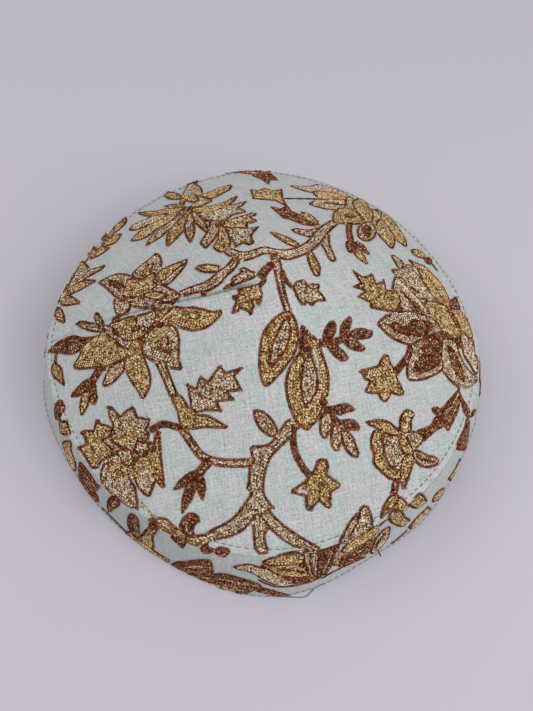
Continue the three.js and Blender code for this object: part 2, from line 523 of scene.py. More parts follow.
# The flowers as the photograph shows them, in its pixels. A later shape lies over an earlier one
photoFlowers = {
    # tree trunk, its roots and branches
    "middleRoot": petal("pale", (252, 508), (253, 533), (256, 552), (268, 552), (265, 536), (268, 529),
        (265, 510)),
    "lowBranchEnd": stem("brown", [(150, 431), (164, 424), (186, 430)], 6, 7),
    "lowBranch": stem("pale", [(183, 429), (193, 445), (205, 458), (228, 463), (257, 462)], 8, 9),
    "trunk": petal("pale", (288, 419), (301, 424), (290, 438), (280, 448), (271, 458), (266, 472),
        (264, 490), (269, 501), (275, 509), (270, 509.5), (280, 521), (292, 530), (307, 540), (322, 549),
        (314, 553), (293, 546), (280, 538), (270, 529), (262, 519), (256, 516), (246, 528), (233, 536),
        (220, 539), (206, 542), (204, 535), (214, 528), (226, 522), (236, 514), (244, 503), (251, 492),
        (246.5, 489), (248.5, 480), (249, 466), (253, 460), (251, 454), (252, 446), (267, 444), (277, 434)),
    "trunkLeaf": petal("pale", (253.5, 410), (262, 410.5), (269, 415), (275, 422.5), (278, 430), (276, 436),
        (270, 436.5), (263, 432.5), (257, 425), (254, 417)),
    "starStem": stem("brown", [(293, 427), (294, 448), (302, 466), (314, 480)], 6, 7),
    "frontStar": serrated("gold", (317, 460), (322, 458), (327, 460), (329, 466), (327, 474), (340, 483),
        (340, 487), (331, 493), (331, 507), (326, 508), (319, 501), (310, 511), (306, 509), (305, 496),
        (295, 494.5), (291, 491), (295.5, 487), (306, 480), (314, 469)),
    "frontStarSlit": bare((296.5, 490), (302, 488.5), (307.5, 491.5), (307, 494), (301, 492.5)),
    "frontStarLowSlit": bare((308.5, 499.5), (313.5, 500), (310.5, 506), (308.5, 506.5)),
    # big double leaves in the middle
    "middleStem": stem("pale", [(274, 254), (277, 266), (279.5, 279), (282.5, 294), (288, 312)], 9.5, 6.5),
    "thornTwig": stem("brown", [(282, 271), (286, 281), (295, 290)], 4.5, 4),
    "smallStar": serrated("pale", (292, 287), (296, 281.5), (302, 279.5), (306, 281), (306.5, 285),
        (313, 283.5), (319, 284.5), (319.5, 289), (317, 290.5), (321, 293), (327, 301.5), (320, 301.5),
        (316, 302), (312, 306), (307.5, 303.5), (303, 305.5), (299.5, 303), (296, 297)),
    "doubleLeafA": petal("gold", (288, 310), (296, 320), (299, 335), (296, 352), (287, 366), (276, 379),
        (265, 387), (259, 372), (259, 350), (263, 332), (274, 318)),
    "doubleLeafAHeart": petal("pale", (288, 315), (291, 331), (288, 346), (280, 358), (270, 368),
        (270, 350), (276, 333)),
    "doubleLeafB": petal("gold", (301, 326), (311, 333), (319, 343), (323.5, 355), (327.5, 368),
        (329.5, 381), (328, 395), (323.5, 408), (318.5, 419.5), (311, 427), (305, 430), (294, 419),
        (287, 400), (285, 382), (290, 365), (299, 350)),
    "doubleLeafBTop": glow("brown", (301, 325), (306, 328), (311, 335), (311, 346), (308, 356), (304, 357),
        (299, 350)),
    "doubleLeafBHeart": petal("pale", (307, 352), (312, 358), (316, 368), (318, 380), (316, 393),
        (311, 402), (304, 407), (300, 390), (301, 369)),
    "doubleLeafBGap": bare((312, 343), (316, 353), (319.5, 367), (320, 382), (318.5, 378), (316.5, 366),
        (313, 355)),
    # brown sprigs round them
    "rightSprigStem": stem("brown", [(318, 343), (331, 343), (345, 338)], 7, 7),
    "rightSprig1": petal("brown", (333, 320.5), (336, 325), (335.5, 332), (331, 340), (326, 343),
        (322.5, 338), (324, 330), (328, 323.5)),
    "rightSprig2": petal("brown", (349, 317), (351.5, 320), (350, 328), (346, 337), (341, 338),
        (339.5, 331), (342, 323)),
    "rightSprig3": petal("brown", (344, 336), (352, 330.5), (359, 328), (367, 329.5), (372.5, 333),
        (369.5, 338), (361, 339.5), (352, 339.5)),
    "rightSprig4": petal("brown", (343, 340), (354, 339), (360, 343), (365, 349.5), (359, 351.5),
        (351, 349.5), (345.5, 345.5)),
    "rightSprig5": petal("brown", (326.5, 344), (335, 343.5), (340, 348), (346, 354), (348, 359),
        (342, 361.5), (335, 357.5), (329.5, 351)),
    "lowSprigStem": stem("brown", [(322, 397), (326, 409), (333, 419), (341, 428)], 7, 9),
    "lowSprig1": petal("brown", (328, 408), (334, 405.5), (342, 403.5), (349, 404), (354.5, 410),
        (347, 412.5), (337, 415)),
    "lowSprig2": petal("pale", (325, 411), (331, 413), (332.5, 423), (329.5, 432.5), (324.5, 438.5),
        (320, 434), (319, 425), (321, 415)),
    "lowSprig3": petal("brown", (336, 421), (344, 419.5), (352, 419), (357.5, 423), (359, 430),
        (350, 430.5), (341, 430)),
    "lowSprig4": petal("pale", (334, 424), (341, 426), (343, 434), (341.5, 443), (336.5, 451), (331, 445),
        (330.5, 433)),
    "lowSprig5": petal("pale", (340, 428), (348, 431), (354, 438), (357, 447), (358.5, 455), (354, 457.5),
        (347, 452), (342, 443)),
    "rightStarStem": stem("brown", [(410, 342), (408.5, 354), (402, 364), (394, 373)], 5, 8),
    "rightStar": serrated("gold", (384, 354), (388.5, 356), (391, 364), (395, 370), (397, 378), (401, 385),
        (404, 394), (398, 396), (391.5, 393.5), (388.5, 399), (384.5, 403), (380.5, 400), (377.5, 394),
        (371, 394), (364, 392), (367.5, 385), (369, 381), (364, 379.5), (359.5, 370.5), (367, 368),
        (377.5, 365.5), (380, 360)),
    # rosebud at the lower right
    "rosebudBranch": petal("brown", (414, 432), (425, 427.5), (431, 424), (436, 416), (446, 420),
        (443, 427), (436, 430.5), (429, 437), (421, 442)),
    "rosebudBranchLeaf": serrated("brown", (431.5, 408), (436, 406.5), (441, 408.5), (446, 403), (452, 396),
        (459, 388.5), (460.5, 399), (458, 411), (454.5, 419), (452, 425), (447.5, 431.5), (444, 426),
        (438, 420), (436, 415), (432, 412)),
    "rosebudBranchVein": line("gold", (444, 416), (451, 407), (458, 394)),
    "rosebudBranchVeinLow": line("gold", (448, 423), (453, 413), (458, 402)),
    "rosebudStem": stem("brown", [(397, 476), (395, 487), (393, 498)], 6.5, 7),
    "rosebudFootRight": petal("gold", (396, 495), (402, 497.5), (408.5, 505), (404, 510.5), (399, 511.5),
        (394, 506)),
    "rosebudFoot": petal("gold", (380, 518.5), (382.5, 507), (387.5, 498), (393, 493.5), (399, 496),
        (397, 502.5), (391, 510), (386, 514.5)),
    "rosebudRight": petal("gold", (411, 449), (414.5, 454), (414, 462), (411, 471), (408.5, 479),
        (405, 488.5), (402, 487.5), (400, 479), (401, 470), (402.5, 461), (406, 454)),
    "rosebudLeft": petal("gold", (377, 427), (372.5, 432), (370, 440), (371, 449), (373, 453), (372.5, 461),
        (375, 466.5), (380, 471.5), (384, 475), (388, 478.5), (399, 480), (401, 472), (394, 468.5),
        (388, 462.5), (384.5, 455), (384, 447), (382.5, 440), (382.5, 433)),
    "rosebudHeart": petal("pale", (382, 435), (390, 434), (398, 435), (399.5, 443), (402, 450), (405, 455),
        (402.5, 462), (401, 471), (394, 470), (387.5, 463.5), (383.5, 455), (383, 447), (381.5, 441)),
    "rosebudFold": petal("gold", (398, 437), (404, 433), (409, 442), (413, 450), (410, 455), (404, 454.5),
        (400, 448), (397.5, 441)),
    "rosebudSepal": petal("gold", (366, 421.5), (374, 419.5), (382, 419.5), (390, 422), (396, 427),
        (403, 431), (399, 436.5), (388, 435.5), (380, 432), (374, 427.5), (369, 425.5)),
    "rosebudBud": petal("pale", (405, 432), (413, 431), (421, 433.5), (422.5, 441), (418, 447),
        (412.5, 451.5), (408, 443)),
    "rosebudSprig": petal("gold", (400, 433), (399, 425), (399.5, 418), (402, 413), (406, 409.5),
        (411, 410.5), (414.5, 415), (411.5, 420), (411.5, 427), (408, 433)),
    "rosebudLeaf": petal("pale", (412, 450), (419, 450), (426, 454), (437.5, 458), (436, 465.5), (425, 468),
        (417, 464), (412.5, 458)),
    "rosebudLeafVein": line("outline", (415, 456), (423, 460), (433, 462)),
    # flower at the right edge
    "rightGround": petal("brown", (398, 302), (420, 302), (446, 303), (464, 320), (468, 343), (448, 350),
        (420, 344), (400, 322)),
    "rightTangle": petal("brown", (448, 309), (449, 302), (456, 297), (458, 303), (460, 312), (453, 312)),
    "rightEdgeGold": petal("gold", (450, 309), (459, 310), (466, 319), (471, 331), (473, 341), (465, 338),
        (459, 328), (454, 318)),
    "rightEdgePale": petal("pale", (458, 327), (466, 336), (473, 340), (475, 352), (478, 362), (476, 375),
        (469, 365), (463, 355), (461, 342)),
    "rightLowLeaf": petal("pale", (441, 340), (448, 338), (455, 343), (460, 355), (467, 368), (477, 379),
        (472, 386), (462, 388.5), (455, 386), (447, 378), (441, 369), (439, 356)),
    "rightLowLeafDark": petal("brown", (447, 347), (453, 349), (458, 360), (463, 372), (463, 381),
        (457, 377), (451, 365)),
    "rightLowLeafVein": line("gold", (452, 353), (456, 364), (460, 375)),
    "rightVase": petal("pale", (409, 342), (411, 350), (407, 361), (406, 374), (409, 380.5), (419, 381),
        (430, 377.5), (442, 370), (442, 356), (441, 338), (426, 340)),
    "rightVaseDark": petal("brown", (420, 348), (427, 344), (434, 337), (441, 340), (442, 352), (439, 364),
        (427, 371), (415, 373), (413, 367), (418, 358), (424, 353)),
    "rightFlowerLong": petal("gold", (408, 260), (416, 263), (425, 267), (433, 275), (441, 284), (446, 293),
        (450, 303), (449, 309), (440, 304), (431, 292), (424, 281), (417, 270)),
    "rightFlowerLongHeart": petal("gold", (417, 268), (424, 273), (432, 283), (440, 296), (445, 306),
        (436, 300), (428, 289), (421, 278)),
    "rightFlowerUpper": petal("pale", (391, 270), (399, 269), (403, 265), (411, 265.5), (414, 271),
        (421, 279), (425, 286), (431, 294), (438, 302), (428, 301), (418, 298), (408, 288), (403, 280),
        (397, 277)),
    "rightFlowerUpperVein": line("outline", (409, 286), (418, 293)),
    "rightFlowerSpike": petal("pale", (391, 256), (395, 256), (403, 263), (402, 269), (398, 268),
        (394, 262)),
    "rightFlowerBody": petal("gold", (424, 302), (438, 302), (448, 309), (455, 320), (461, 332),
        (458, 340.5), (450, 337), (442, 332), (433, 327), (429, 316)),
    "rightFlowerBodyEdge": stem("brown", [(447, 310), (454, 319), (459, 330)], 4, 4),
    "rightFlowerInner": petal("pale", (395, 277), (399, 279), (406, 286), (413, 293), (420, 301),
        (426, 309), (432, 318), (420, 317), (408, 314), (400, 309), (395, 301), (391.5, 291), (392.5, 282)),
    "rightFlowerInnerVein": line("outline", (400, 290), (409, 301)),
    "rightFlowerInnerDark": petal("brown", (408, 302), (414, 302), (421, 309), (421, 315), (413, 313)),
    "rightFlowerLeft": petal("pale", (377, 323.5), (384, 316.5), (392, 313), (401, 311), (411, 311),
        (421, 314), (432, 318), (442, 331), (434, 335), (427, 338), (416, 343), (409, 345.5), (399, 342.5),
        (390, 337.5), (381, 329)),
    "rightFlowerLeftDark": petal("brown", (388, 325), (397, 323), (406, 326), (413, 320), (424, 321),
        (433, 325), (428, 334), (420, 337), (408, 336), (397, 333)),
    "rightSerrated": serrated("gold", (351, 269), (363, 277), (372, 274), (376, 284), (384, 280),
        (386, 290), (396, 291), (401, 302), (396, 313), (382, 311), (370, 308), (370, 303), (357, 297),
        (364, 291), (352, 287), (360, 283)),
    "rightDarkRun": line("grey", (460, 387), (466, 388.5), (472, 386)),
    # branch over the tip and the flower behind it
    "mainSpur": petal("pale", (319, 240), (329, 231), (330, 245), (335.5, 259), (333, 262), (329, 260),
        (324, 250)),
    "mainThorn": petal("pale", (291, 230), (298, 229), (308, 230), (318, 228), (312, 237), (305, 236.5),
        (297, 234)),
    "mainLeafDown": petal("gold", (306.5, 252), (312, 252), (316, 258), (320, 266), (320, 273),
        (317, 277.5), (313, 274), (309, 266), (307, 259)),
    "mainLeafBack": leaf("gold", (302, 248), (269, 232), 7),
    "mainStem": petal("pale", (219, 247), (226, 247), (233, 249), (241, 251.5), (248, 251.5), (254, 249.5),
        (261, 247.5), (268, 247.5), (277, 249.5), (288, 249.5), (297, 247), (304, 243.5), (309, 239),
        (314, 232.5), (320, 227), (327, 222.5), (334, 219), (341, 222), (333, 229), (328, 234.5),
        (320, 244.5), (312, 251.5), (304, 255.5), (296, 258.5), (288, 260.5), (281, 259), (275, 256),
        (269, 254.5), (263, 255), (256, 258), (249, 260.5), (241, 261.5), (233, 259), (226, 255)),
    "backSprig1": leaf("gold", (319, 227), (301, 212), 8),
    "backSprig2": serrated("brown", (270, 207), (281, 209), (287, 205), (292, 212), (301, 215), (309, 221),
        (317, 227), (302, 225), (290, 220), (284, 219), (277, 213)),
    "backHalo": petal("pale", (350, 206), (355, 200), (362, 200), (371, 208), (381, 215), (380, 223),
        (371, 227), (361, 225), (353, 215)),
    "backLeaf1": petal("pale", (290, 186), (303, 187), (312, 186), (318, 185), (329, 188), (340, 191),
        (351, 198), (340, 197), (328, 194), (312, 193), (301, 190.5)),
    "backLeaf2": petal("gold", (313, 192), (329, 192.5), (341, 196), (351, 200), (340, 202), (328, 200.5),
        (318, 198)),
    "backLeaf3": petal("pale", (309, 204), (316, 200.5), (326, 199.5), (345, 201), (351, 205), (349, 210),
        (336, 210.5), (325, 209.5), (314, 206.5)),
    "backLeaf3Vein": line("outline", (324, 203.5), (335, 204.5), (346, 206)),
    "backCollar": petal("pale", (345, 199), (352, 198), (355, 204), (353, 210), (347, 209)),
    "backBract": petal("gold", (335, 210.5), (349, 208.5), (357, 214), (363, 223), (350, 225), (333, 222)),
    "backBractDark": leaf("brown", (343, 216), (357, 217.5), 4.5),
    "backEdgeStrip": leaf("brown", (374, 209), (396, 226), 4),
    "backPetal2": petal("gold", (380, 213), (389, 217), (397, 226.5), (405, 239), (406, 247), (397, 241),
        (389, 231), (382, 222)),
    "backPetal1": petal("gold", (375, 225), (380, 219.5), (387, 225.5), (393, 235), (395, 242), (392, 249),
        (385, 243), (378, 235)),
    "backOval": petal("gold", (352, 203), (354, 200), (361, 199.5), (368.5, 206), (373, 214),
        (372.5, 221.5), (366, 222), (359, 215), (354, 209)),
    "backRing": disc("pale", (366.5, 232), 10),
    "backRingEye": leaf("brown", (366, 224.5), (367.5, 239), 9),
    "backTwig": stem("brown", [(349, 223), (349, 233), (351, 243)], 6, 6),
    "backBudBall": petal("brown", (346, 242), (352, 240), (357, 245), (356, 251), (350, 253), (346, 248)),
    "backTwigLeaf1": leaf("brown", (354, 242), (369, 254.5), 6.5),
    "backTwigLeaf2": leaf("gold", (353, 248), (367, 264), 7.5),
    "backEdgeLeaf": leaf("gold", (410.5, 250), (428, 259), 7),
    "backEdgeBud": leaf("brown", (424, 258), (433, 265), 6),
    "backEdgeLine": line("outline", (431, 263), (437, 271)),
    "backStar": serrated("gold", (250, 190), (259, 191), (264, 188), (272, 191), (282, 190), (283, 198),
        (287, 207), (275, 201), (262, 200), (253, 199)),
    "backStarStem": line("outline", (284, 199), (300, 199), (318, 199.5)),
    "topEdge": petal("gold", (220, 172), (240, 169), (258, 169), (272, 173), (258, 175), (238, 173)),
    "topEdgeStar": serrated("brown", (252, 176), (260, 171), (271, 174), (279, 181), (270, 180), (269, 185),
        (262, 180)),
    # at the tip, cut by the dart
    "tipLeaf": serrated("pale", (223, 290), (226, 285), (231, 283), (233, 277), (240, 273), (241, 268.5),
        (245, 267.5), (251, 270.5), (257, 273), (261, 275), (254, 278.5), (246, 281.5), (238, 285),
        (230, 288)),
    "tipTwist": petal("brown", (271, 262), (275, 266), (269, 272.5), (265, 279), (260, 278), (257, 275.5),
        (260, 270), (265, 265.5)),
    "tipSerrated": serrated("gold", (237, 289), (245, 287.5), (252, 285.5), (258, 284), (264, 279),
        (267, 281), (261, 288), (262.5, 294), (261, 305.5), (256.5, 304), (256, 300), (253, 301),
        (254.5, 306), (251.5, 315), (246, 311), (241, 309), (237, 313), (231, 314), (233.5, 307.5),
        (236, 301), (232, 298), (235, 294), (238.5, 295)),
    "leftBranchSpur": leaf("brown", (203, 289), (204.5, 297.5), 6),
    "leftBranchLeaf": petal("gold", (195, 268), (202, 265), (212, 264.5), (222, 267.5), (216, 272.5),
        (208, 273.5), (200, 272)),
    "leftBranch": petal("pale", (234, 257), (240, 260.5), (237, 267), (232, 272.5), (226, 278), (221, 284),
        (214, 289), (206, 293), (199, 293), (190, 295.5), (182, 297), (177, 294), (181, 291), (188, 288),
        (195, 285.5), (203, 282.5), (210, 278.5), (217, 272), (224, 267.5), (229, 263)),
    # fan flower at the back left
    "fanGround": petal("brown", (183, 208), (192, 208), (206, 214), (212, 221), (200, 222), (186, 218)),
    "fanLobe1": petal("pale", (209, 219), (215, 220), (218, 228), (217, 236), (213, 242), (209, 246),
        (206, 249), (200, 244), (203, 238), (207, 232), (209, 226)),
    "fanLobe3": serrated("pale", (228, 228), (240, 228), (249, 228.5), (259, 227), (254, 233), (252, 236),
        (254, 243), (250, 246), (243, 243.5), (236, 248), (233, 243), (229, 235)),
    "fanLobe4": serrated("gold", (223, 222), (233, 219), (243, 216), (253, 213), (256, 215), (251, 218),
        (257, 221), (252, 224), (248, 223), (248, 229), (240, 228.5), (230, 229), (224, 227)),
    "fanLobe2": petal("gold", (219, 222), (225, 227), (229, 233), (231, 240), (230, 248), (221, 253),
        (213, 248), (217, 240), (218, 231)),
    "fanWide": serrated("pale", (196, 213), (208, 212), (220, 209), (230, 206), (240, 203), (247, 201.5),
        (243, 206), (239, 208), (248, 212), (240, 214), (234, 215), (230, 218), (224, 222), (216, 222),
        (206, 221), (200, 217)),
    "fanPetal1": leaf("pale", (187, 208), (165, 206.5), 5.5, 0, 0.5),
    "fanPetal2": petal("gold", (138, 213), (150, 212), (160, 210.5), (172, 208.5), (186, 208), (178, 212.5),
        (165, 215.5), (154, 217), (145, 216.5)),
    "fanPetal3": petal("pale", (129, 230), (133, 225.5), (140, 222), (150, 218), (160, 215), (168, 214),
        (160, 220), (150, 224.5), (141, 229), (134, 231)),
    "fanPetal4": petal("gold", (131, 241), (138, 233), (146, 227.5), (156, 222), (168, 216), (182, 210),
        (175, 217.5), (168, 223), (158, 229.5), (149, 236.5), (140, 240.5)),
    "fanPetal5": petal("pale", (146, 246), (150, 238), (158, 231.5), (166, 225), (176, 217.5), (187, 210),
        (184, 216), (178, 222), (170, 229.5), (162, 237), (152, 243)),
    "fanPetal6": petal("gold", (167, 247), (166, 239), (168.5, 232), (174, 225), (181, 218), (188, 211),
        (187, 220), (185, 229), (180, 236), (174, 242)),
    "fanPetal7": petal("pale", (190.5, 243), (185.5, 236), (184, 229), (186, 221), (188.5, 212), (192, 218),
        (195, 226), (195, 234)),
    "fanPetal8": petal("gold", (189, 210), (199, 215), (205, 221.5), (209, 229), (207, 233.5), (200, 228.5),
        (194, 222)),
    "fanPetal9": leaf("pale", (189, 207.5), (213, 200.5), 5.5, 0, 0.5),
    "fanPetal10": petal("gold", (189, 210), (200, 208), (212, 206), (224, 202.5), (232, 198.5),
        (237.5, 196.5), (234, 202), (226, 208), (214, 211.5), (200, 214)),
    "fanBudTop": leaf("brown", (187, 185), (198.5, 181.5), 7),
    "fanBud": petal("pale", (181, 199), (184, 192), (188, 186.5), (194, 184), (199, 186), (202.5, 190),
        (202, 196), (197, 199), (188, 199)),
    "fanBudFoot": petal("gold", (179, 205), (182, 199), (189, 195.5), (196, 195), (199, 201), (192, 203),
        (186, 201.5), (184, 206)),
    "fanLeafLeft": petal("gold", (163.5, 195), (168, 192), (175, 193), (182, 196), (180, 199.5), (172, 200),
        (167, 198.5)),
    "fanLeafRight": petal("gold", (200, 196.5), (208, 193), (218, 189), (226, 186.5), (232, 185.5),
        (230, 190), (222, 194.5), (213, 199), (205, 198.5)),
    # sprays along the left edge
    "edgeSprayStub": leaf("brown", (104, 242), (105, 231), 6),
    "edgeSpray1": petal("gold", (126, 217.5), (121, 221.5), (114, 227.5), (108, 236.5), (110, 238.5),
        (117, 232), (123, 227), (127, 222)),
    "edgeSpray2": petal("gold", (122, 234.5), (116, 235.5), (110, 239.5), (102, 243.5), (104, 246.5),
        (112, 245), (118, 241)),
    "edgeSpray3": serrated("gold", (92.5, 244), (96, 248.5), (99, 249), (102, 244.5), (106, 247),
        (111, 247.5), (105, 252.5), (98, 257), (93, 259), (87.5, 260), (88, 254), (89, 249)),
    "edgeSprayStem": line("outline", (88.5, 258), (85, 264)),
    "edgeFanTrunk": petal("pale", (69, 279), (72, 283), (70, 290), (69, 296), (63, 300), (58, 304),
        (57, 302), (61, 293), (64, 285)),
    "edgeFan1": leaf("gold", (66, 283), (82, 256), 7),
    "edgeFanHeart": petal("pale", (83, 261), (89, 267), (89, 271), (84, 277), (76, 283), (69, 290),
        (70, 283), (74, 275), (79, 267)),
    "edgeFan2": petal("pale", (105.5, 265.5), (97, 268), (90, 270), (84, 276), (76, 282), (68, 289),
        (74, 287), (82, 281), (92, 275.5), (101, 270.5)),
    "edgeFan3": petal("gold", (96, 281), (88, 279.5), (82, 281), (75, 284.5), (68, 289.5), (69, 295),
        (77, 292.5), (85, 288), (91, 284.5)),
    "edgeFan4": petal("pale", (61, 301), (68, 295), (75, 298), (80, 303), (72, 305.5), (63, 306)),
    "edgeDrop": petal("gold", (58, 307), (62, 309), (65, 316), (65, 322.5), (60, 322), (55, 318),
        (55.5, 312)),
    # flower in the middle left, cut by the dart
    "midGround": petal("brown", (122, 294), (130, 279), (150, 277), (164, 284), (174, 294), (164, 302),
        (142, 304), (126, 302)),
    "midPetalLow": petal("pale", (128, 299), (138, 297), (150, 299.5), (162, 301), (174, 299), (180, 296),
        (176, 303), (166, 308), (152, 310), (140, 308.5), (129, 306)),
    "midPetalSmall": petal("pale", (115, 299), (122, 300.5), (129, 299), (131, 307), (127, 314), (120, 316),
        (115, 312), (114, 305)),
    "midPetalLeft": petal("pale", (99, 282.5), (106, 278.5), (113, 275), (120, 273.5), (128, 274.5),
        (133, 277.5), (129, 282), (126, 289), (124, 299), (118, 299.5), (112, 294.5), (105, 288)),
    "midPetalLeftEye": petal("brown", (108, 283), (113, 280), (119, 281.5), (126, 288), (121, 290.5),
        (114, 288)),
    "midPetalUp": petal("pale", (156, 253.5), (160, 255.5), (162.5, 261), (162, 267), (158, 273),
        (150, 275), (140, 280), (132, 276), (137, 269), (143, 264), (150, 258.5)),
    "midPetalUpHeart": petal("gold", (153, 262.5), (146, 267), (141, 277), (148, 276), (152, 270),
        (154, 265)),
    "midPetalRight": petal("gold", (188, 260), (178, 262.5), (170, 265.5), (161, 270.5), (156, 276),
        (158, 282), (166, 280), (177, 270)),
    "midPetalRightPale": petal("pale", (187.5, 262), (183, 270), (177, 277), (171, 283), (165, 286),
        (158, 283.5), (167, 278), (177, 268.5)),
    "midPetalLower": petal("pale", (150, 289), (160, 283.5), (168, 287), (179, 293), (180, 298), (172, 303),
        (160, 303), (147, 297)),
    "midPetalLowerHeart": petal("gold", (144, 296), (150, 291.5), (160, 291.5), (168, 295.5), (160, 300.5),
        (151, 300.5)),
    "midBody": petal("gold", (128, 280), (135, 278.5), (142, 279), (148, 275.5), (155, 273), (157, 277),
        (155, 282), (160, 285), (153, 290), (144, 296), (134, 298.5), (124, 297.5), (124, 290)),
    # flower below the dart on the left
    "leftGround": petal("brown", (110, 328), (126, 320), (154, 318), (168, 330), (162, 346), (146, 350),
        (130, 354), (116, 346)),
    "leftKnot": leaf("brown", (112, 322), (122, 314), 5),
    "leftLeafStrip": petal("gold", (157, 323), (157, 311), (165, 308.5), (172, 307), (164, 315)),
    "leftLeafRight": petal("gold", (158, 323.5), (164, 315), (170, 309), (176, 306), (184, 307),
        (194, 306.5), (203, 308.5), (212, 311), (221.5, 311), (220.5, 316), (216, 321.5), (208, 327.5),
        (200, 330.5), (192, 331.5), (183, 329.5), (174, 326)),
    "leftPetalRight": petal("pale", (147, 333), (153, 327), (161, 325.5), (170, 324), (177, 328),
        (180, 338), (180, 350), (180, 360), (182, 369), (171, 369), (162, 364.5), (152, 361.5), (145, 356),
        (142, 348)),
    "leftPetalRightHeart": glow("gold", (148, 337), (154, 330), (163, 331), (167, 340), (160, 346),
        (151, 346)),
    "leftPetalRightVein": line("outline", (164, 331), (168, 340), (167, 349), (171, 356)),
    "leftPetalRightTuck": line("outline", (154, 350), (160, 348), (167, 354)),
    "leftTriangle": petal("gold", (74, 369), (79, 356), (84, 347), (91, 341.5), (97, 336.5), (103, 333),
        (110, 336.5), (117, 342.5), (127, 350), (126, 359), (117, 363), (108, 367), (96, 368.5)),
    "leftLeafDown": petal("gold", (138, 337), (142, 347), (146, 360), (150, 370), (151.5, 381), (149, 391),
        (143, 399), (137, 391), (130, 380), (126, 371), (125.5, 360), (127, 351), (132, 344)),
    "leftLeafSmall": petal("pale", (126, 359), (125, 370), (118, 379), (111, 385), (104, 387), (103, 382),
        (107, 373), (111, 365), (119, 361)),
    "leftBand": petal("pale", (101, 324), (110, 326), (116, 333), (121, 338.5), (132, 341), (130, 348),
        (126, 350), (119, 345.5), (112, 339), (104, 333)),
    "leftBody": petal("gold", (110, 324), (116, 321), (124, 318), (134, 315.5), (141, 315), (142, 325),
        (147, 329), (148, 334), (138, 340), (128, 342), (119, 338), (117, 331.5), (112, 329)),
    "leftBodyHeart": petal("pale", (137, 316), (146, 313), (156, 310.5), (157, 318), (152, 327), (143, 330),
        (137, 325)),
    "leftBodyDark": leaf("brown", (130, 331), (144, 326), 6),
    "leftDarkLeaf": petal("brown", (48, 352), (57, 343), (66, 338), (75, 335.5), (84, 337.5), (97, 336.5),
        (88, 344), (80, 351), (71, 355), (60, 353.5)),
    "leftTuft1": petal("pale", (76.5, 324), (82, 321), (89, 322), (97, 323.5), (104, 328), (103, 333),
        (96, 332.5), (88, 331), (81, 328)),
    "leftTuft2": petal("gold", (97, 312.5), (101, 316), (104, 322), (106, 332), (100, 329), (95.5, 322),
        (95, 316)),
    "leftEdgeLeaf": petal("gold", (56, 352), (58, 353), (57, 362), (62, 368), (64, 378), (65, 386),
        (59, 382), (52, 375), (51, 368), (54, 363)),
    "leftStem": stem("pale", [(160, 361), (166, 375), (171, 388), (176, 400)], 10, 8.5),
    "leftSprigStem": stem("brown", [(103, 366), (97, 374), (92, 383)], 8, 7),
    "leftSprig1": petal("brown", (71.5, 396), (77, 388), (84, 381), (92, 378.5), (93, 384), (87, 391),
        (79, 396.5)),
    "leftSprig2": leaf("gold", (88, 389), (81.5, 416.5), 9.5),
    "leftSprig3": petal("brown", (90, 383), (96, 384), (97, 393), (98, 399), (94, 405), (90, 399)),
    "hookLeaf": petal("gold", (171, 396), (181, 395), (188, 405), (194, 413), (208, 415), (218, 420),
        (227, 428), (205, 428), (183, 429), (177, 412)),
    "paleSerrated": serrated("pale", (192, 414), (187, 384), (196, 388), (200, 375), (208, 381), (220, 365),
        (226, 372), (245, 366), (235, 376), (243, 391), (228, 392), (235, 400), (218, 402), (222, 411),
        (205, 411)),
    # plane leaf at the lower left, in four lobes
    "planeGround": glow("pale", (96, 446), (110, 436), (144, 440), (154, 452), (142, 470), (130, 480),
        (112, 470), (102, 462)),
    "planeLobeLeft": serrated("gold", (81, 432), (84, 430), (94, 430), (95, 424), (97, 419), (100, 420),
        (100, 423), (108, 425), (113, 428), (112, 435), (105, 441), (115, 450), (114, 455), (102, 462),
        (97, 469), (91, 468), (88, 462), (80, 450), (78, 447), (85, 444), (86, 442), (83, 435)),
    "planeLobeRight": serrated("gold", (157, 431), (160, 431), (161, 440), (162, 455), (164, 473),
        (165, 487), (161, 487), (156, 481), (153, 491), (149, 497), (144, 495), (139, 489), (137, 486),
        (131, 470), (133, 464), (139, 456), (146, 453), (154, 449), (154, 440)),
    "planeLobeRightPale": glow("pale", (138, 470), (148, 468), (152, 480), (149, 492), (142, 488)),
    "planeLobeLow": serrated("pale", (105, 462), (114, 460), (121, 459), (124, 465), (130, 477), (136, 487),
        (138, 498), (139, 509), (132, 508), (126, 505), (109, 491), (105, 486), (100, 477), (101, 470)),
    "planeLobeLowHeart": glow("gold", (108, 467), (119, 461), (127, 472), (126, 480), (114, 478)),
    "planeHeart": petal("pale", (116, 451), (124, 449), (132, 452), (137, 455), (131, 466), (124, 464)),
    "planeTail": petal("pale", (138, 442), (142, 441), (152, 442), (153, 449), (145, 453), (136, 454)),
    "planeLobeUp": serrated("pale", (108, 406), (113, 407), (116, 411), (121, 416), (124, 412), (130, 408),
        (134, 407), (136, 411), (138, 417), (143, 417), (147, 419), (150, 417), (150, 423), (147, 430),
        (150, 434), (149, 440), (139, 440), (136, 450), (131, 452), (118, 446), (112, 442), (108, 435),
        (114, 433), (112, 423), (109, 417)),
    "planeLobeUpHeart": glow("gold", (119, 436), (126, 426), (136, 430), (133, 446), (123, 445)),
    "lowSprigA": leaf("brown", (202, 470), (173, 490), 11),
    "lowSprigB": leaf("brown", (196, 472), (182, 514), 11),
    "lowSprigC": leaf("brown", (199, 471), (203, 501), 10),
    "lowSprigFoot": stem("brown", [(210, 459), (204, 467), (196, 477)], 10, 8),
    # along the crown's seam at the front left
    "seamRun": petal("gold", (182, 534), (192, 535), (206, 534.5), (210, 541), (203, 546), (193, 544.5),
        (184, 541)),
    "seamLeaf": petal("gold", (154, 518.5), (160, 517), (167, 518.5), (174, 524.5), (182, 532),
        (187, 537.5), (178, 537), (168, 532), (160, 528)),
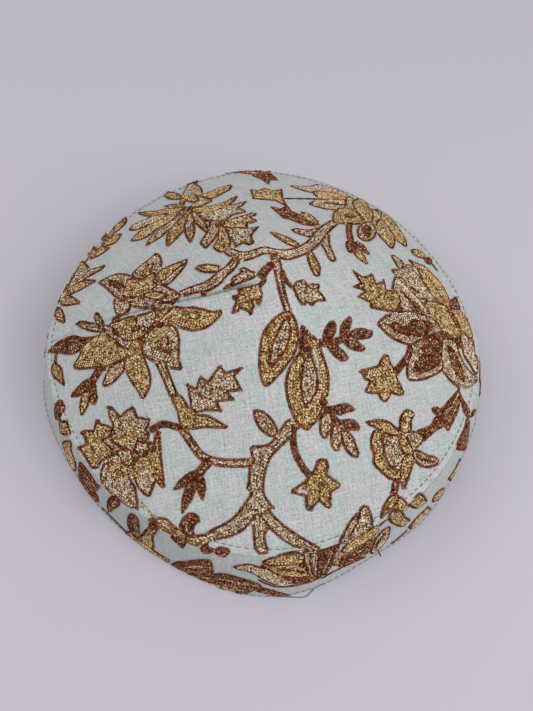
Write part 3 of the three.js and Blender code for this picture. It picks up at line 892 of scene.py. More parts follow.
    "hookSprig": petal("brown", (179, 527), (182, 519.5), (187, 514), (193, 512.5), (199, 516.5),
        (199.5, 522), (195, 525), (193.5, 530), (194, 537), (186, 535), (181, 531)),
    "hookSprigHeart": line("gold", (187, 532), (186.5, 526), (189, 519)),
    "seamThread": line("gold", (139, 499), (145, 507), (153, 516)),
    # on the band, from left to right
    "bandLeft1": petal("brown", (57, 402), (62, 400), (66, 409), (62, 415), (61, 421), (56, 418),
        (55, 409)),
    "bandLeft2": petal("gold", (60, 422), (67, 421), (70, 428), (71, 434), (62, 434)),
    "bandLeft3": petal("gold", (63, 442), (71, 441), (72, 451), (76, 462), (76, 471), (70, 463), (66, 452)),
    "bandLeft4": petal("brown", (80, 462), (88, 470), (97, 483), (101, 486), (97, 490), (90, 496),
        (80, 480)),
    "bandLeft5": leaf("brown", (90, 492), (99, 502), 8),
    "bandKnot": petal("brown", (109, 512), (107.5, 501), (113, 495), (118, 497), (120, 505), (114, 509)),
    "bandKnotEye": line("gold", (112.5, 504.5), (116.5, 500.5)),
    "bandRimLine": line("outline", (102, 507), (113, 518), (126, 531)),
    "bandRimLeft": stem("gold", [(127, 531), (138, 541), (150, 551), (168, 563)], 5, 7.5),
    "bandLeaf1": petal("brown", (131, 513), (137, 516.5), (139.5, 523), (140, 532), (144, 541), (138, 540),
        (132, 533), (128.5, 527), (127.5, 519)),
    "bandLeaf2": petal("gold", (149, 519), (157, 517.5), (159.5, 526), (157, 532), (153.5, 537), (154, 548),
        (146, 543.5), (141, 537), (145, 530), (149, 526)),
    "bandLeaf2Top": leaf("brown", (149, 527), (159, 522), 9),
    "bandBud1": petal("brown", (171, 536), (181, 537), (187, 541), (183, 547.5), (177, 543)),
    "bandBud2": petal("brown", (200.5, 548), (204, 543.5), (211, 546), (217, 549), (210, 553),
        (203, 552.5)),
    "bandBud3": petal("brown", (215, 549), (222, 546.5), (230, 549.5), (228, 554.5), (223, 557),
        (216.5, 553.5)),
    "bandRunEnd": stem("brown", [(256, 588), (272, 592), (292, 597)], 6, 3.5),
    "bandRun": petal("brown", (166, 562), (178, 567), (192, 572.5), (211, 573.5), (224, 573), (236, 576),
        (250, 580), (262, 585.5), (252, 591), (243, 594.5), (232, 593), (218, 588.5), (204, 584),
        (189, 579.5), (175, 572.5)),
    "bandRunVein": line("gold", (190, 575.5), (208, 577.5), (226, 579.5), (246, 584)),
    "bandRunLow": line("gold", (196, 580), (214, 584), (232, 589), (246, 590)),
    "bandBlock": petal("brown", (169, 567), (176, 561.5), (185, 561), (195, 559.5), (205, 559),
        (211.5, 561), (213, 574), (204, 574.5), (190, 572.5), (178, 569.5)),
    "bandBlockVein": line("gold", (184, 567), (196, 566), (208, 566.5)),
    "bandFlowerGround": petal("brown", (260, 566), (276, 558), (304, 556), (320, 556), (324, 575),
        (304, 582), (280, 583), (264, 577)),
    "bandFlowerLow": petal("pale", (233, 566.5), (248, 563.5), (257, 565.5), (273, 570.5), (281, 575.5),
        (293, 580.5), (285, 584), (276, 584.5), (262, 579), (253, 573)),
    "bandFlowerMiddle": petal("gold", (263, 563.5), (287, 564), (303, 565.5), (309, 574), (297, 577),
        (280, 575), (271, 571)),
    "bandFlowerMiddleVein": line("outline", (276, 568.5), (290, 569.5), (304, 572)),
    "bandFlowerUpper": petal("gold", (262, 562), (272, 556.5), (287, 552), (304, 551), (303, 562),
        (284, 565), (270, 565)),
    "bandFlowerBlock": petal("pale", (302, 551), (310, 549.5), (319, 550.5), (318.5, 563), (317, 576),
        (309, 577), (305, 566)),
    "bandFlowerBlockVein": line("outline", (310, 553), (310.5, 564), (312, 574)),
    "bandFlowerHem": line("outline", (259, 580), (275, 586), (292, 585.5), (308, 582), (320, 577)),
    "bandFlowerPale": petal("pale", (331, 563), (334, 553), (341, 547), (349, 549), (345, 557), (336, 565)),
    "bandFlowerRise": petal("pale", (364, 504.5), (370, 510), (373, 522), (371, 530), (358, 536),
        (348, 543), (339, 542), (345, 529), (351, 519), (358, 511)),
    "bandFlowerRiseVein": line("outline", (360, 513), (356, 524), (349, 536)),
    "bandFlowerDark": petal("brown", (338, 561), (350, 549), (362, 542), (375, 536), (372, 547),
        (362, 556.5), (350, 562.5), (340, 567)),
    "bandFlowerLong": petal("gold", (341, 549.5), (350, 541), (360, 534.5), (370, 528), (381, 523),
        (377, 532), (367, 541), (355, 548), (345, 553)),
    "bandFlowerDarkVein": line("gold", (349, 557), (359, 551), (368, 544)),
    "bandFlowerTip": petal("pale", (370, 553), (374, 541), (381, 531), (390, 526), (388.5, 536), (383, 544),
        (376, 551)),
    "bandFlowerRight": petal("brown", (318, 551), (328, 547.5), (340, 543.5), (334, 556), (332, 565),
        (324, 576), (316, 577), (317, 564)),
    "bandFlowerRightVein": line("gold", (323, 571), (328, 561), (332, 551)),
    "bandFlowerTipVein": line("outline", (374.5, 548), (379, 540), (384.5, 532.5)),
    "bandFlowerHemRight": line("outline", (322, 578), (332, 572), (342, 567), (353, 562), (365, 556.5)),
    "bandSeamLine": line("outline", (390, 517.5), (384, 521), (378, 527)),
    "bandKnotRight": petal("gold", (389.5, 512), (397, 508), (403, 512), (405, 516), (410, 519.5),
        (405, 524), (401, 526.5), (394, 524.5), (388.5, 520)),
    "bandBud4": petal("gold", (408.5, 504.5), (415, 496.5), (419, 492.5), (424, 495), (426.5, 500.5),
        (421, 505), (415, 508.5)),
    "bandEdgeUpper": petal("brown", (459, 392), (463, 399), (468, 407), (471, 413), (468, 418), (464, 413),
        (461, 404)),
    "bandEdgeStem": petal("brown", (466, 418), (469, 421), (468.5, 431), (467, 441), (465, 449),
        (461, 450.5), (455.5, 448.5), (457.5, 441), (461.5, 433), (464.5, 425)),
    "bandEdgeTick": leaf("brown", (470, 417), (475, 409), 3.5),
    "bandRim0": stem("gold", [(460.5, 459), (457.5, 466), (454, 473), (449, 480)], 2.5, 4),
    "bandRim1": leaf("gold", (432, 502), (444, 487), 5.5),
    "bandRim2": stem("gold", [(429.5, 507), (422, 514), (415, 521), (409, 528)], 4, 3),
    "bandRim3": line("outline", (407, 530), (399, 537), (391, 543)),
}

# The far side of the band, which the photograph doesn't show: a running vine, in millimetres round the rim
farVine = {
    "startAngle": math.radians(-6),
    "endAngle": math.radians(186),
    "waves": 5,
    "waveSteps": 6,
    "swing": 5.0,
    "middle": 17.0,
    "edge": 1.25,           # from its middle to each outline
    "seamGap": 0.5,         # the cloth is marked up to this far below the seam
    "stems": (("Heart", "pale", 0), ("Low", "outline", -1), ("Top", "outline", 1)),
}
# Leaves at each crest and dip: thread, base, tip, width and bow. Base and tip are a step along, then a rise
# from the vine's top or foot
crestLeaves = {
    "farLeafUp": ("gold", (-2, "top", 1.5), (-15, "top", 7), 6, 1.5),
    "farLeafDown": ("pale", (2, "top", -2), (3, "foot", -6), 7.5, 0),
    "farSideDown": ("gold", (-3, "top", -2.5), (-9, "foot", -3), 6, 1),
    "farSprig": ("brown", (7, "top", 0), (15, "top", 6), 4, 0),
}
dipLeaves = {
    "farPetalUp": ("pale", (1, "foot", 2), (1, "top", 7), 7, 0),
    "farPetalLeft": ("gold", (-1, "foot", 2), (-9, "top", 3), 6, -1),
    "farPetalRight": ("gold", (3, "foot", 2), (11, "top", 3), 6, 1),
    "farFoot": ("brown", (-6, "foot", -2), (-14, "foot", -6), 4, 0),
}


def makeFarFlowers():
    vine = farVine
    start, end = (vine[key] * rimPlan["radius"] for key in ("startAngle", "endAngle"))
    wave = (end - start) / vine["waves"]
    along = np.linspace(start, end, vine["waves"] * vine["waveSteps"] + 1)
    height = vine["middle"] + vine["swing"] * np.sin((along - start) / wave * fullTurn)
    slope = np.gradient(height, along)
    across = np.stack([-slope, np.ones(len(slope))], -1) / np.hypot(1, slope)[:, None]
    flowers = {}
    for part, thread, side in vine["stems"]:
        spine = np.stack([along, height], -1) + across * side * vine["edge"]
        flowers["farVine" + part] = line(thread, *spine)
    level = {"top": vine["middle"] + vine["swing"], "foot": vine["middle"] - vine["swing"]}
    for i in range(vine["waves"]):
        for leaves, place in ((crestLeaves, 0.25), (dipLeaves, 0.75)):
            middle = start + wave * (i + place)
            for name, (thread, base, tip, width, bow) in leaves.items():
                ends = [(middle + step, level[where] + rise) for step, where, rise in (base, tip)]
                flowers[f"{name}{i}"] = leaf(thread, *ends, width, bow)
    return flowers


# How the shapes are sewn, in millimetres
stitching = {
    "outlineInset": 0.38,   # from a shape's charted edge to the middle of its outline
    "outlinePitch": 1.3,
    "outlineRoom": 0.84,    # from that middle to the first row of the filling
    "roomSlack": 0.1,       # how much nearer to the outline the filling may come
    "rowSlack": 0.13,       # and a row to the edge that it follows
    "fillRow": 0.84,
    "fillPitch": 1.1,
    "brownRow": 0.95,
    "brownPitch": 1.3,
    "mostRows": 24,
    "closest": 0.72,        # least room between two stitches, in rows
    "linePitch": 1.25,
    "outlineCover": 0.5,    # a later shape hides stitches this far beyond its edge
    "fillCover": 0.05,
    "ringStep": 1.5,        # over the chart's unit, the longest step along a charted edge
    "flatStep": 0.7,        # the longest once the shape is laid flat
    "dropFrom": 25,         # a flat shape's stitches drop on the cloth from this height
    "dropReach": 60,
    "lift": 0.2,            # stitches ride this far above the cloth
    "lowest": 1.3,          # none lies nearer to the floor
    "crownReach": 0.05,     # one this far below the seam still belongs to the crown
    "seed": 7,
}
tiny = 1e-9     # keeps a division from failing


def insideRing(points, ring):
    x, y = points[:, 0:1], points[:, 1:2]
    ax, ay = ring[:, 0], ring[:, 1]
    bx, by = np.roll(ax, -1), np.roll(ay, -1)
    spans = (ay > y) != (by > y)
    rise = np.where(by == ay, tiny, by - ay)
    return (spans & (x < (bx - ax) * (y - ay) / rise + ax)).sum(1) % 2 == 1


def ringDistance(points, ring):
    a, b = ring, np.roll(ring, -1, 0)
    edge = b - a
    t = ((points[:, None] - a) * edge).sum(-1) / np.maximum((edge ** 2).sum(-1), tiny)
    foot = a + edge * np.clip(t, 0, 1)[..., None]
    return np.sqrt(((points[:, None] - foot) ** 2).sum(-1)).min(1)


class stitchBook:
    # gathers every stitch by its thread and the cloth that it lies on
    def __init__(self):
        self.pages = {}

    def add(self, thread, place, run, face):
        if place.z < stitching["lowest"]:
            return
        cloth = "crown" if place.z > seamHeight - stitching["crownReach"] else "band"
        self.pages.setdefault((thread, cloth), []).append((place, run, face))


def covered(spots, covers, grow):
    # spots under a later shape, or within a little of its edge
    hidden = np.zeros(len(spots), bool)
    for motif in covers:
        ring = motif["ring"]
        reach = grow if motif["thread"] else 0
        near = ((spots > ring.min(0) - reach) & (spots < ring.max(0) + reach)).all(1) & ~hidden
        if near.any():
            under = insideRing(spots[near], ring) | (ringDistance(spots[near], ring) < reach)
            hidden[np.flatnonzero(near)[under]] = True
    return hidden


def finePath(ring, longest):
    fine = []
    for a, b in zip(ring, np.roll(ring, -1, 0)):
        pieces = max(1, math.ceil(np.hypot(*(b - a)) / longest))
        fine.extend(a + (b - a) * k / pieces for k in range(pieces))
    return np.array(fine)


def evenSpots(path, pitch, least):
    # spots about one pitch apart along a path
    length = np.concatenate([[0], np.cumsum(np.linalg.norm(np.diff(path, axis=0), axis=1))])
    count = max(least, round(length[-1] / pitch))
    stops = (np.arange(count) + 0.5) * length[-1] / count
    return np.stack([np.interp(stops, length, values) for values in path.T], -1)


def innerRow(ring, inset, pitch):
    along = np.roll(ring, -1, 0) - np.roll(ring, 1, 0)
    inward = np.stack([-along[:, 1], along[:, 0]], -1) / np.maximum(np.hypot(*along.T), tiny)[:, None]
    row = ring + inward * inset
    spots = evenSpots(np.concatenate([row, row[:1]]), pitch, 3)
    runs = np.roll(spots, -1, 0) - np.roll(spots, 1, 0)
    kept = insideRing(spots, ring) & (ringDistance(spots, ring) > inset - stitching["rowSlack"])
    return spots[kept], runs[kept]


def straightRows(ring, row, pitch):
    # every second row is shifted by half a stitch
    way = np.linalg.svd(ring - ring.mean(0), full_matrices=False)[2][0]
    axes = np.array([way, [-way[1], way[0]]])
    turned = ring @ axes.T
    low, high = turned.min(0), turned.max(0)
    across, up = np.maximum(1, ((high - low) / (pitch, row)).astype(int))
    x, y = np.meshgrid(low[0] + pitch * (np.arange(across) + 0.5), low[1] + row * (np.arange(up) + 0.5))
    x = x + pitch * 0.5 * (np.arange(up) % 2)[:, None]
    spots = np.stack([x.ravel(), y.ravel()], -1) @ axes
    spots = spots[insideRing(spots, ring)]
    spots = spots[ringDistance(spots, ring) > stitching["outlineInset"]]
    return spots, np.tile(way, (len(spots), 1))


def spaced(spots, least):
    kept = np.zeros(len(spots), bool)
    for k, spot in enumerate(spots):
        kept[k] = not kept.any() or np.hypot(*(spots[kept] - spot).T).min() > least
    return kept


def sewMotif(motif, place, spotOf, covers, book, unit):
    # laid flat on a plane along the cloth at the shape's middle, sewn there, and set back on the cloth
    seats = [place(p) for p in finePath(motif["ring"], stitching["ringStep"] / unit)]
    ring = np.array([seat for seat, face in seats])
    middle = ring.mean(0)
    normal = Vector(np.mean([face for seat, face in seats], 0)).normalized()
    along = normal.orthogonal().normalized()
    axes = np.array([along, normal.cross(along)])
    flat = finePath((ring - middle) @ axes.T, stitching["flatStep"])
    if (flat[:, 0] * np.roll(flat[:, 1], -1) - flat[:, 1] * np.roll(flat[:, 0], -1)).sum() < 0:
        flat = flat[::-1]

    def lay(thread, spots, runs, grow):
        laid = []
        for point in middle + spots @ axes:
            above = Vector(point) + normal * stitching["dropFrom"]
            seat, face = surface.ray_cast(above, -normal, stitching["dropReach"])[:2]
            laid.append((seat, face) if seat else surface.find_nearest(Vector(point))[:2])
        shown = ~covered(spotOf(np.array([seat for seat, face in laid])), covers, grow * unit)
        for (seat, face), run, isShown in zip(laid, runs @ axes, shown):
            if isShown:
                book.add(thread, seat, Vector(run), face)
        return spots[shown]

    inset, room = stitching["outlineInset"], stitching["outlineRoom"]
    edge, runs = innerRow(flat, inset, stitching["outlinePitch"])
    hasEdge = len(edge) and "plain" not in motif
    edge = lay("outline", edge, runs, stitching["outlineCover"]) if hasEdge else edge[:0]
    kind = "brown" if motif["thread"] == "brown" else "fill"
    row, pitch = stitching[kind + "Row"], stitching[kind + "Pitch"]
    # rows follow the edge inwards, and straight rows fill what is left
    insets = [inset] + [inset + room + k * row for k in range(stitching["mostRows"])]
    rows = [innerRow(flat, inset, pitch) for inset in insets] + [straightRows(flat, row, pitch)]
    spots, runs = (np.concatenate(parts) for parts in zip(*rows))
    if len(edge):
        clear = np.hypot(*(spots[:, None] - edge).transpose(2, 0, 1)).min(1) > room - stitching["roomSlack"]
        spots, runs = spots[clear], runs[clear]
    kept = spaced(spots, row * stitching["closest"])
    if kept.any():
        lay(motif["thread"], spots[kept], runs[kept], stitching["fillCover"])


def sewLine(motif, place, spotOf, covers, book, unit):
    seats = np.array([place(p)[0] for p in motif["spine"]])
    spots = evenSpots(seats, stitching["linePitch"], 2)
    hidden = covered(spotOf(spots), covers, stitching["fillCover"] * unit)
    for spot, run, isHidden in zip(spots, np.gradient(spots, axis=0), hidden):
        if not isHidden:
            seat, face = surface.find_nearest(Vector(spot))[:2]
            book.add(motif["thread"], seat, Vector(run), face)


def sewChart(chart, book):
    motifs = list(chart["flowers"].values())
    for i, motif in enumerate(motifs):
        if motif["thread"]:
            sew = sewLine if "single" in motif else sewMotif
            sew(motif, chart["place"], chart["spotOf"], motifs[i + 1:], book, chart["unit"])


def facesPhoto(points, normals):
    return ((points - np.array(photoCamera["place"])) * normals).sum(1) < 0


def onFarBand(points, normals):
    outward = (points[:, :2] * normals[:, :2]).sum(1) > 0
    return outward & (points[:, 2] < seamHeight - farVine["seamGap"])


# unit: chart units to a millimetre
photoChart = {
    "flowers": photoFlowers, "place": onCap, "spotOf": pixelOf, "seen": facesPhoto, "unit": 2.2,
}
farChart = {
    "flowers": makeFarFlowers(), "place": onBand, "spotOf": bandSpotOf, "seen": onFarBand, "unit": 1.0,
}
book = stitchBook()
sewChart(photoChart, book)
sewChart(farChart, book)

# Grey topstitch through the crown's folded edge, and another row through the hem
topstitch = {"pitch": 2.7, "inset": 2.5, "hemHeight": 1.9}


def sewTopstitch(book, radius, rowAt):
    count = round(fullTurn * radius / topstitch["pitch"])
    angles = np.linspace(0, fullTurn, count, endpoint=False)
    for place, angle in zip(rowAt(angles), angles):
        seat, face = surface.find_nearest(Vector(place))[:2]
        book.add("grey", seat, Vector((-math.sin(angle), math.cos(angle), 0)), face)


seamShare = 1 - topstitch["inset"] * math.cos(capForm["edgeSlope"]) / seamPlan["radius"]
sewTopstitch(book, seamPlan["radius"], lambda angles: crownOuter(seamShare, angles))
sewTopstitch(book, rimPlan["radius"], lambda angles: bandOuter(topstitch["hemHeight"] / bandTop, angles))
print("stitches:", {key: len(page) for key, page in book.pages.items()})

# Node helpers
number, whole, vector, geometry = (
    "NodeSocket" + kind for kind in ("Float", "Int", "Vector", "Geometry"))


def addNode(tree, kind, inputs=None, **settings):
    # an input is a socket to wire in, or else a plain value
    node = tree.nodes.new(kind)
    for name, value in settings.items():
        setattr(node, name, value)
    for key, value in (inputs or {}).items():
        if isinstance(value, bpy.types.NodeSocket):
            tree.links.new(value, node.inputs[key])
        else:
            node.inputs[key].default_value = value
    return node


def newTree(name, kind, inputs, outputs):
    tree = bpy.data.node_groups.new(name, kind)
    for way, sockets in (("INPUT", inputs), ("OUTPUT", outputs)):
        for label, socketKind in sockets.items():
            tree.interface.new_socket(label, in_out=way, socket_type=socketKind)
    return tree, tree.nodes.new("NodeGroupInput").outputs, tree.nodes.new("NodeGroupOutput").inputs


def mathNode(tree, operation, *values):
    return addNode(tree, "ShaderNodeMath", dict(enumerate(values)), operation=operation).outputs[0]


# Chain stitch: one drop-shaped loop of thread for each point, laid along its run
chainLink = {"tailWidth": 0.85, "headSpread": 0.3, "sizeSeed": 11, "tintSeed": 23}


def makeChainTree():
    tree, given, result = newTree("chainStitch", "GeometryNodeTree", {
        "Points": geometry, "Link Length": number, "Link Width": number, "Thread Radius": number,
        "Round Steps": whole, "Thread Sides": whole, "Tilt": number, "Wander": number, "Size Spread": number,
        "Seed": whole, "Material": "NodeSocketMaterial",
    }, {"Stitches": geometry})

    def times(a, b):
        return mathNode(tree, "MULTIPLY", a, b)

    def between(low, high, seedShift):
        seed = mathNode(tree, "ADD", given["Seed"], seedShift)
        draw = addNode(tree, "FunctionNodeRandomValue", {2: low, 3: high, "Seed": seed}, data_type="FLOAT")
        return draw.outputs[1]

    loop = addNode(tree, "GeometryNodeCurvePrimitiveCircle",
                   {"Radius": 1.0, "Resolution": given["Round Steps"]}, mode="RADIUS")
    place = addNode(tree, "GeometryNodeInputPosition")
    parts = addNode(tree, "ShaderNodeSeparateXYZ", {0: place.outputs[0]}).outputs
    taper = mathNode(tree, "ADD", times(parts["X"], chainLink["headSpread"]), chainLink["tailWidth"])
    across = times(parts["Y"], times(given["Link Width"], 0.5))
    shaped = addNode(tree, "ShaderNodeCombineXYZ", {
        "X": times(parts["X"], times(given["Link Length"], 0.5)), "Y": times(across, taper)})
    drop = addNode(tree, "GeometryNodeSetPosition", {
        "Geometry": loop.outputs["Curve"], "Position": shaped.outputs[0]})
    section = addNode(tree, "GeometryNodeCurvePrimitiveCircle", {
        "Resolution": given["Thread Sides"], "Radius": given["Thread Radius"]}, mode="RADIUS")
    tube = addNode(tree, "GeometryNodeCurveToMesh", {
        "Curve": drop.outputs[0], "Profile Curve": section.outputs["Curve"]})
    share = mathNode(tree, "DIVIDE", parts["X"], given["Link Length"])
    along = addNode(tree, "GeometryNodeStoreNamedAttribute", {
        "Name": "linkAlong", "Geometry": tube.outputs[0], "Value": share}, data_type="FLOAT", domain="POINT")
    run, face = (addNode(tree, "GeometryNodeInputNamedAttribute", {"Name": name}, data_type="FLOAT_VECTOR")
                 for name in ("runDir", "faceDir"))
    lay = addNode(tree, "FunctionNodeAxesToRotation", {
        "Primary Axis": face.outputs["Attribute"], "Secondary Axis": run.outputs["Attribute"],
    }, primary_axis="Z", secondary_axis="X")
    wander = between(times(given["Wander"], -1.0), given["Wander"], 0)
    turn = addNode(tree, "ShaderNodeCombineXYZ", {"X": wander, "Y": times(given["Tilt"], -1.0), "Z": wander})
    toRotation = addNode(tree, "FunctionNodeEulerToRotation", {0: turn.outputs[0]})
    laid = addNode(tree, "FunctionNodeRotateRotation", {
        "Rotation": lay.outputs[0], "Rotate By": toRotation.outputs[0]}, rotation_space="LOCAL")
    spread = given["Size Spread"]
    size = between(mathNode(tree, "SUBTRACT", 1.0, spread), mathNode(tree, "ADD", 1.0, spread),
                   chainLink["sizeSeed"])
    sew = addNode(tree, "GeometryNodeInstanceOnPoints", {
        "Points": given["Points"], "Instance": along.outputs[0], "Rotation": laid.outputs[0], "Scale": size})
    tint = addNode(tree, "GeometryNodeStoreNamedAttribute", {
        "Name": "stitchTint", "Geometry": sew.outputs[0], "Value": between(0.0, 1.0, chainLink["tintSeed"]),
    }, data_type="FLOAT", domain="INSTANCE")
    real = addNode(tree, "GeometryNodeRealizeInstances", {0: tint.outputs[0]})
    paint = addNode(tree, "GeometryNodeSetMaterial", {
        "Geometry": real.outputs[0], "Material": given["Material"]})
    tree.links.new(paint.outputs[0], result["Stitches"])
    return tree


def setInputs(modifier, values):
    named = {item.name: item.identifier for item in modifier.node_group.interface.items_tree
             if item.item_type == "SOCKET" and item.in_out == "INPUT"}
    for name, value in values.items():
        modifier[named[name]] = value


def sewPiece(name, stitches, tree, material, slot, **sizes):
    mesh = bpy.data.meshes.new(name + "Points")
    mesh.from_pydata([(place + face * stitching["lift"]) * mm for place, run, face in stitches], [], [])
    for label, pick in (("runDir", 1), ("faceDir", 2)):
        layer = mesh.attributes.new(label, "FLOAT_VECTOR", "POINT")
        layer.data.foreach_set("vector", [c for s in stitches for c in s[pick].normalized()])
    points = bpy.data.objects.new(name + "Points", mesh)
    bpy.context.scene.collection.objects.link(points)
    modifier = points.modifiers.new("sew", "NODES")
    modifier.node_group = tree
    setInputs(modifier, {"Material": material, **sizes})
    graph = bpy.context.evaluated_depsgraph_get()
    sewn = bpy.data.meshes.new_from_object(points.evaluated_get(graph), preserve_all_data_layers=True,
                                           depsgraph=graph)
    points.modifiers.remove(modifier)
    bpy.data.objects.remove(points)
    sewn.name = name
    addPiece(name, sewn, material)
    print(name, len(stitches), "stitches,", sum(len(p.vertices) - 2 for p in sewn.polygons), "triangles")


# Materials
def newMaterial(name, **values):
    material = bpy.data.materials.new(name)
    material.use_nodes = True
    shader = material.node_tree.nodes["Principled BSDF"]
    for label, value in values.items():
        shader.inputs[label.replace("_", " ")].default_value = value
    return material, material.node_tree, shader.inputs


def ramp(tree, factor, *stops):
    node = addNode(tree, "ShaderNodeValToRGB", {"Fac": factor})
    elements = node.color_ramp.elements
    while len(elements) < len(stops):
        elements.new(0.5)
    for element, (place, colour) in zip(elements, stops):
        element.position = place
        element.color = (*colour, 1)
    return node.outputs["Color"]


def mixNode(tree, factor, a, b, blend="MIX"):
    inputs = {"Factor": factor, "A": a, "B": b}
    return addNode(tree, "ShaderNodeMix", inputs, data_type="RGBA", blend_type=blend).outputs["Result"]


def bumpNode(tree, height, strength, distance):
    inputs = {"Height": height, "Strength": strength, "Distance": distance * mm}
    return addNode(tree, "ShaderNodeBump", inputs).outputs[0]


# Slub weave: two crossing threads of uneven thickness, with broad faint stripes of tint.
# Scales are for the grain's map, in which 1 is 100 mm
slubWeave = {
    "threads": 120.0,
    "slub": 0.42,
    "slubAcross": 240.0,
    "slubAlong": 16.0,
    "slubWobble": 2.5,          # how far a slub pushes its neighbours aside
    "weaveHeight": 0.35,
    "slubHeight": 2.0,
    "speckle": 125.0,
    "speckleShade": 0.65,
    "weaveShade": 0.1,
    "stripe": 15.0,
    "ways": (("X", "Y", 3.7), ("Y", "X", 9.1)),     # own and other way, and a place in the noise
    "stripes": (("Stripe", "X", 2.3), ("Cross Stripe", "Y", 7.9)),
}


def makeWeaveGroup():
    look = slubWeave
    tree, given, result = newTree(
        "slubWeave", "ShaderNodeTree", {"Grain": vector, "Threads": number, "Slub": number},
        {"Thread Height": number, "Shade": number, "Stripe": number, "Cross Stripe": number})

    def times(a, b):
        return mathNode(tree, "MULTIPLY", a, b)

    def plus(a, b):
        return mathNode(tree, "ADD", a, b)

    parts = addNode(tree, "ShaderNodeSeparateXYZ", {0: given["Grain"]}).outputs
    heights, slubs = [], []
    for own, other, place in look["ways"]:
        stretch = addNode(tree, "ShaderNodeCombineXYZ", {
            "X": times(parts[own], look["slubAcross"]),
            "Y": times(parts[other], look["slubAlong"]), "Z": place})
        wobble = addNode(tree, "ShaderNodeTexNoise", {
            "Vector": stretch.outputs[0], "Scale": 1.0, "Detail": 1.0}).outputs["Fac"]
        phase = times(parts[own], times(given["Threads"], fullTurn))
        heights.append(mathNode(tree, "SINE", plus(phase, times(wobble, look["slubWobble"]))))
        slubs.append(wobble)
    weave = times(*heights)
    uneven = times(mathNode(tree, "SUBTRACT", plus(*slubs), 1.0), given["Slub"])
    speckle = addNode(tree, "ShaderNodeTexNoise", {
        "Vector": given["Grain"], "Scale": look["speckle"], "Detail": 1.5}).outputs["Fac"]
    fine = times(mathNode(tree, "SUBTRACT", speckle, 0.5), look["speckleShade"])
    shade = plus(uneven, plus(fine, times(weave, look["weaveShade"])))
    height = plus(times(weave, look["weaveHeight"]), times(uneven, look["slubHeight"]))
    tree.links.new(height, result["Thread Height"])
    tree.links.new(shade, result["Shade"])
    for label, own, place in look["stripes"]:
        stripe = addNode(tree, "ShaderNodeTexNoise", {
            "W": plus(parts[own], place), "Scale": look["stripe"], "Detail": 2.0}, noise_dimensions="1D")
        tree.links.new(stripe.outputs["Fac"], result[label])
    return tree


clothLook = {
    "mint": (0.4, 0.472, 0.43),
    "plain": (0.448, 0.47, 0.453),
    "blush": (0.495, 0.462, 0.474),
    "stripeStops": (0.32, 0.5, 0.68),
    "crossStops": (0.34, 0.5, 0.66),
    "shadeStops": ((0.2, (0.6, 0.6, 0.6)), (0.8, (1.3, 1.3, 1.3))),
    "underStitchShade": (0.1, 0.04, 0.013, 1),
    "creaseShade": (0.1, 0.095, 0.085, 1),
    "creaseShadeShare": 0.5,
    "bump": (0.45, 0.15),       # strength, and depth in millimetres
}


def clothMaterial(name, weave, shade):
    look = clothLook
    material, tree, shader = newMaterial(name, Roughness=0.88, Sheen_Weight=0.12, Specular_IOR_Level=0.2)
    grain = addNode(tree, "ShaderNodeUVMap", uv_map="clothGrain")
    threads = addNode(tree, "ShaderNodeGroup", {
        "Grain": grain.outputs["UV"], "Threads": slubWeave["threads"], "Slub": slubWeave["slub"],
    }, node_tree=weave)
    tints = [tuple(c * shade for c in look[tint]) for tint in ("mint", "plain", "blush")]
    tone = ramp(tree, threads.outputs["Stripe"], *zip(look["stripeStops"], tints))
    cross = ramp(tree, threads.outputs["Cross Stripe"], *zip(look["crossStops"], tints))
    level = ramp(tree, mathNode(tree, "ADD", threads.outputs["Shade"], 0.5), *look["shadeStops"])
    cotton = mixNode(tree, 1.0, mixNode(tree, 0.5, tone, cross), level, "MULTIPLY")
    under, creaseShade = (addNode(tree, "ShaderNodeAttribute", attribute_name=mark).outputs["Fac"]
                     for mark in ("underStitchShade", "creaseShade"))
    # painted shade: the cloth darkens to brown under and between the stitches
    shadowed = mixNode(tree, under, cotton, look["underStitchShade"])
    # painted shade along the sewn fold and the band's seam
    foldShaded = mixNode(tree, mathNode(tree, "MULTIPLY", creaseShade, look["creaseShadeShare"]), shadowed, look["creaseShade"])
    tree.links.new(foldShaded, shader["Base Color"])
    tree.links.new(bumpNode(tree, threads.outputs["Thread Height"], *look["bump"]), shader["Normal"])
    return material


# Thread: fine plies, painted as glints and shade along every link, over the thread's own uneven tone
threadTwist = {"fineness": 1500.0, "contrast": 2.35, "shift": -0.675, "bump": (0.5, 0.1)}


def makeTwistGroup():
    tree, given, result = newTree(
        "threadTwist", "ShaderNodeTree", {"Place": vector, "Fineness": number}, {"Ply": number})
    ply = addNode(tree, "ShaderNodeTexNoise", {
        "Vector": given["Place"], "Scale": given["Fineness"], "Detail": 1.0})
    tree.links.new(ply.outputs["Fac"], result["Ply"])
    return tree


def threadMaterial(name, twist, look):
    material, tree, shader = newMaterial(name, Metallic=look["metallic"], Roughness=look["roughness"],
                                         Specular_IOR_Level=look["specular"])

    def times(a, b):
        return mathNode(tree, "MULTIPLY", a, b)

    def plus(a, b):
        return mathNode(tree, "ADD", a, b)

    place = addNode(tree, "ShaderNodeTexCoord")
    ply = addNode(tree, "ShaderNodeGroup", {
        "Place": place.outputs["Object"], "Fineness": threadTwist["fineness"],
    }, node_tree=twist).outputs["Ply"]
    tint, along = (addNode(tree, "ShaderNodeAttribute", attribute_name=mark).outputs["Fac"]
                   for mark in ("stitchTint", "linkAlong"))
    plyGlintAndTone = plus(times(ply, threadTwist["contrast"]), threadTwist["shift"])
    mixed = plus(times(tint, look["tintShare"]), times(plyGlintAndTone, 1 - look["tintShare"]))
    # painted shade: each link is darker where its tail dives into the one before
    mixed = plus(mixed, times(along, look["tailShade"]))
    tree.links.new(ramp(tree, mixed, *look["stops"]), shader["Base Color"])
    tree.links.new(bumpNode(tree, ply, *threadTwist["bump"]), shader["Normal"])
    return material


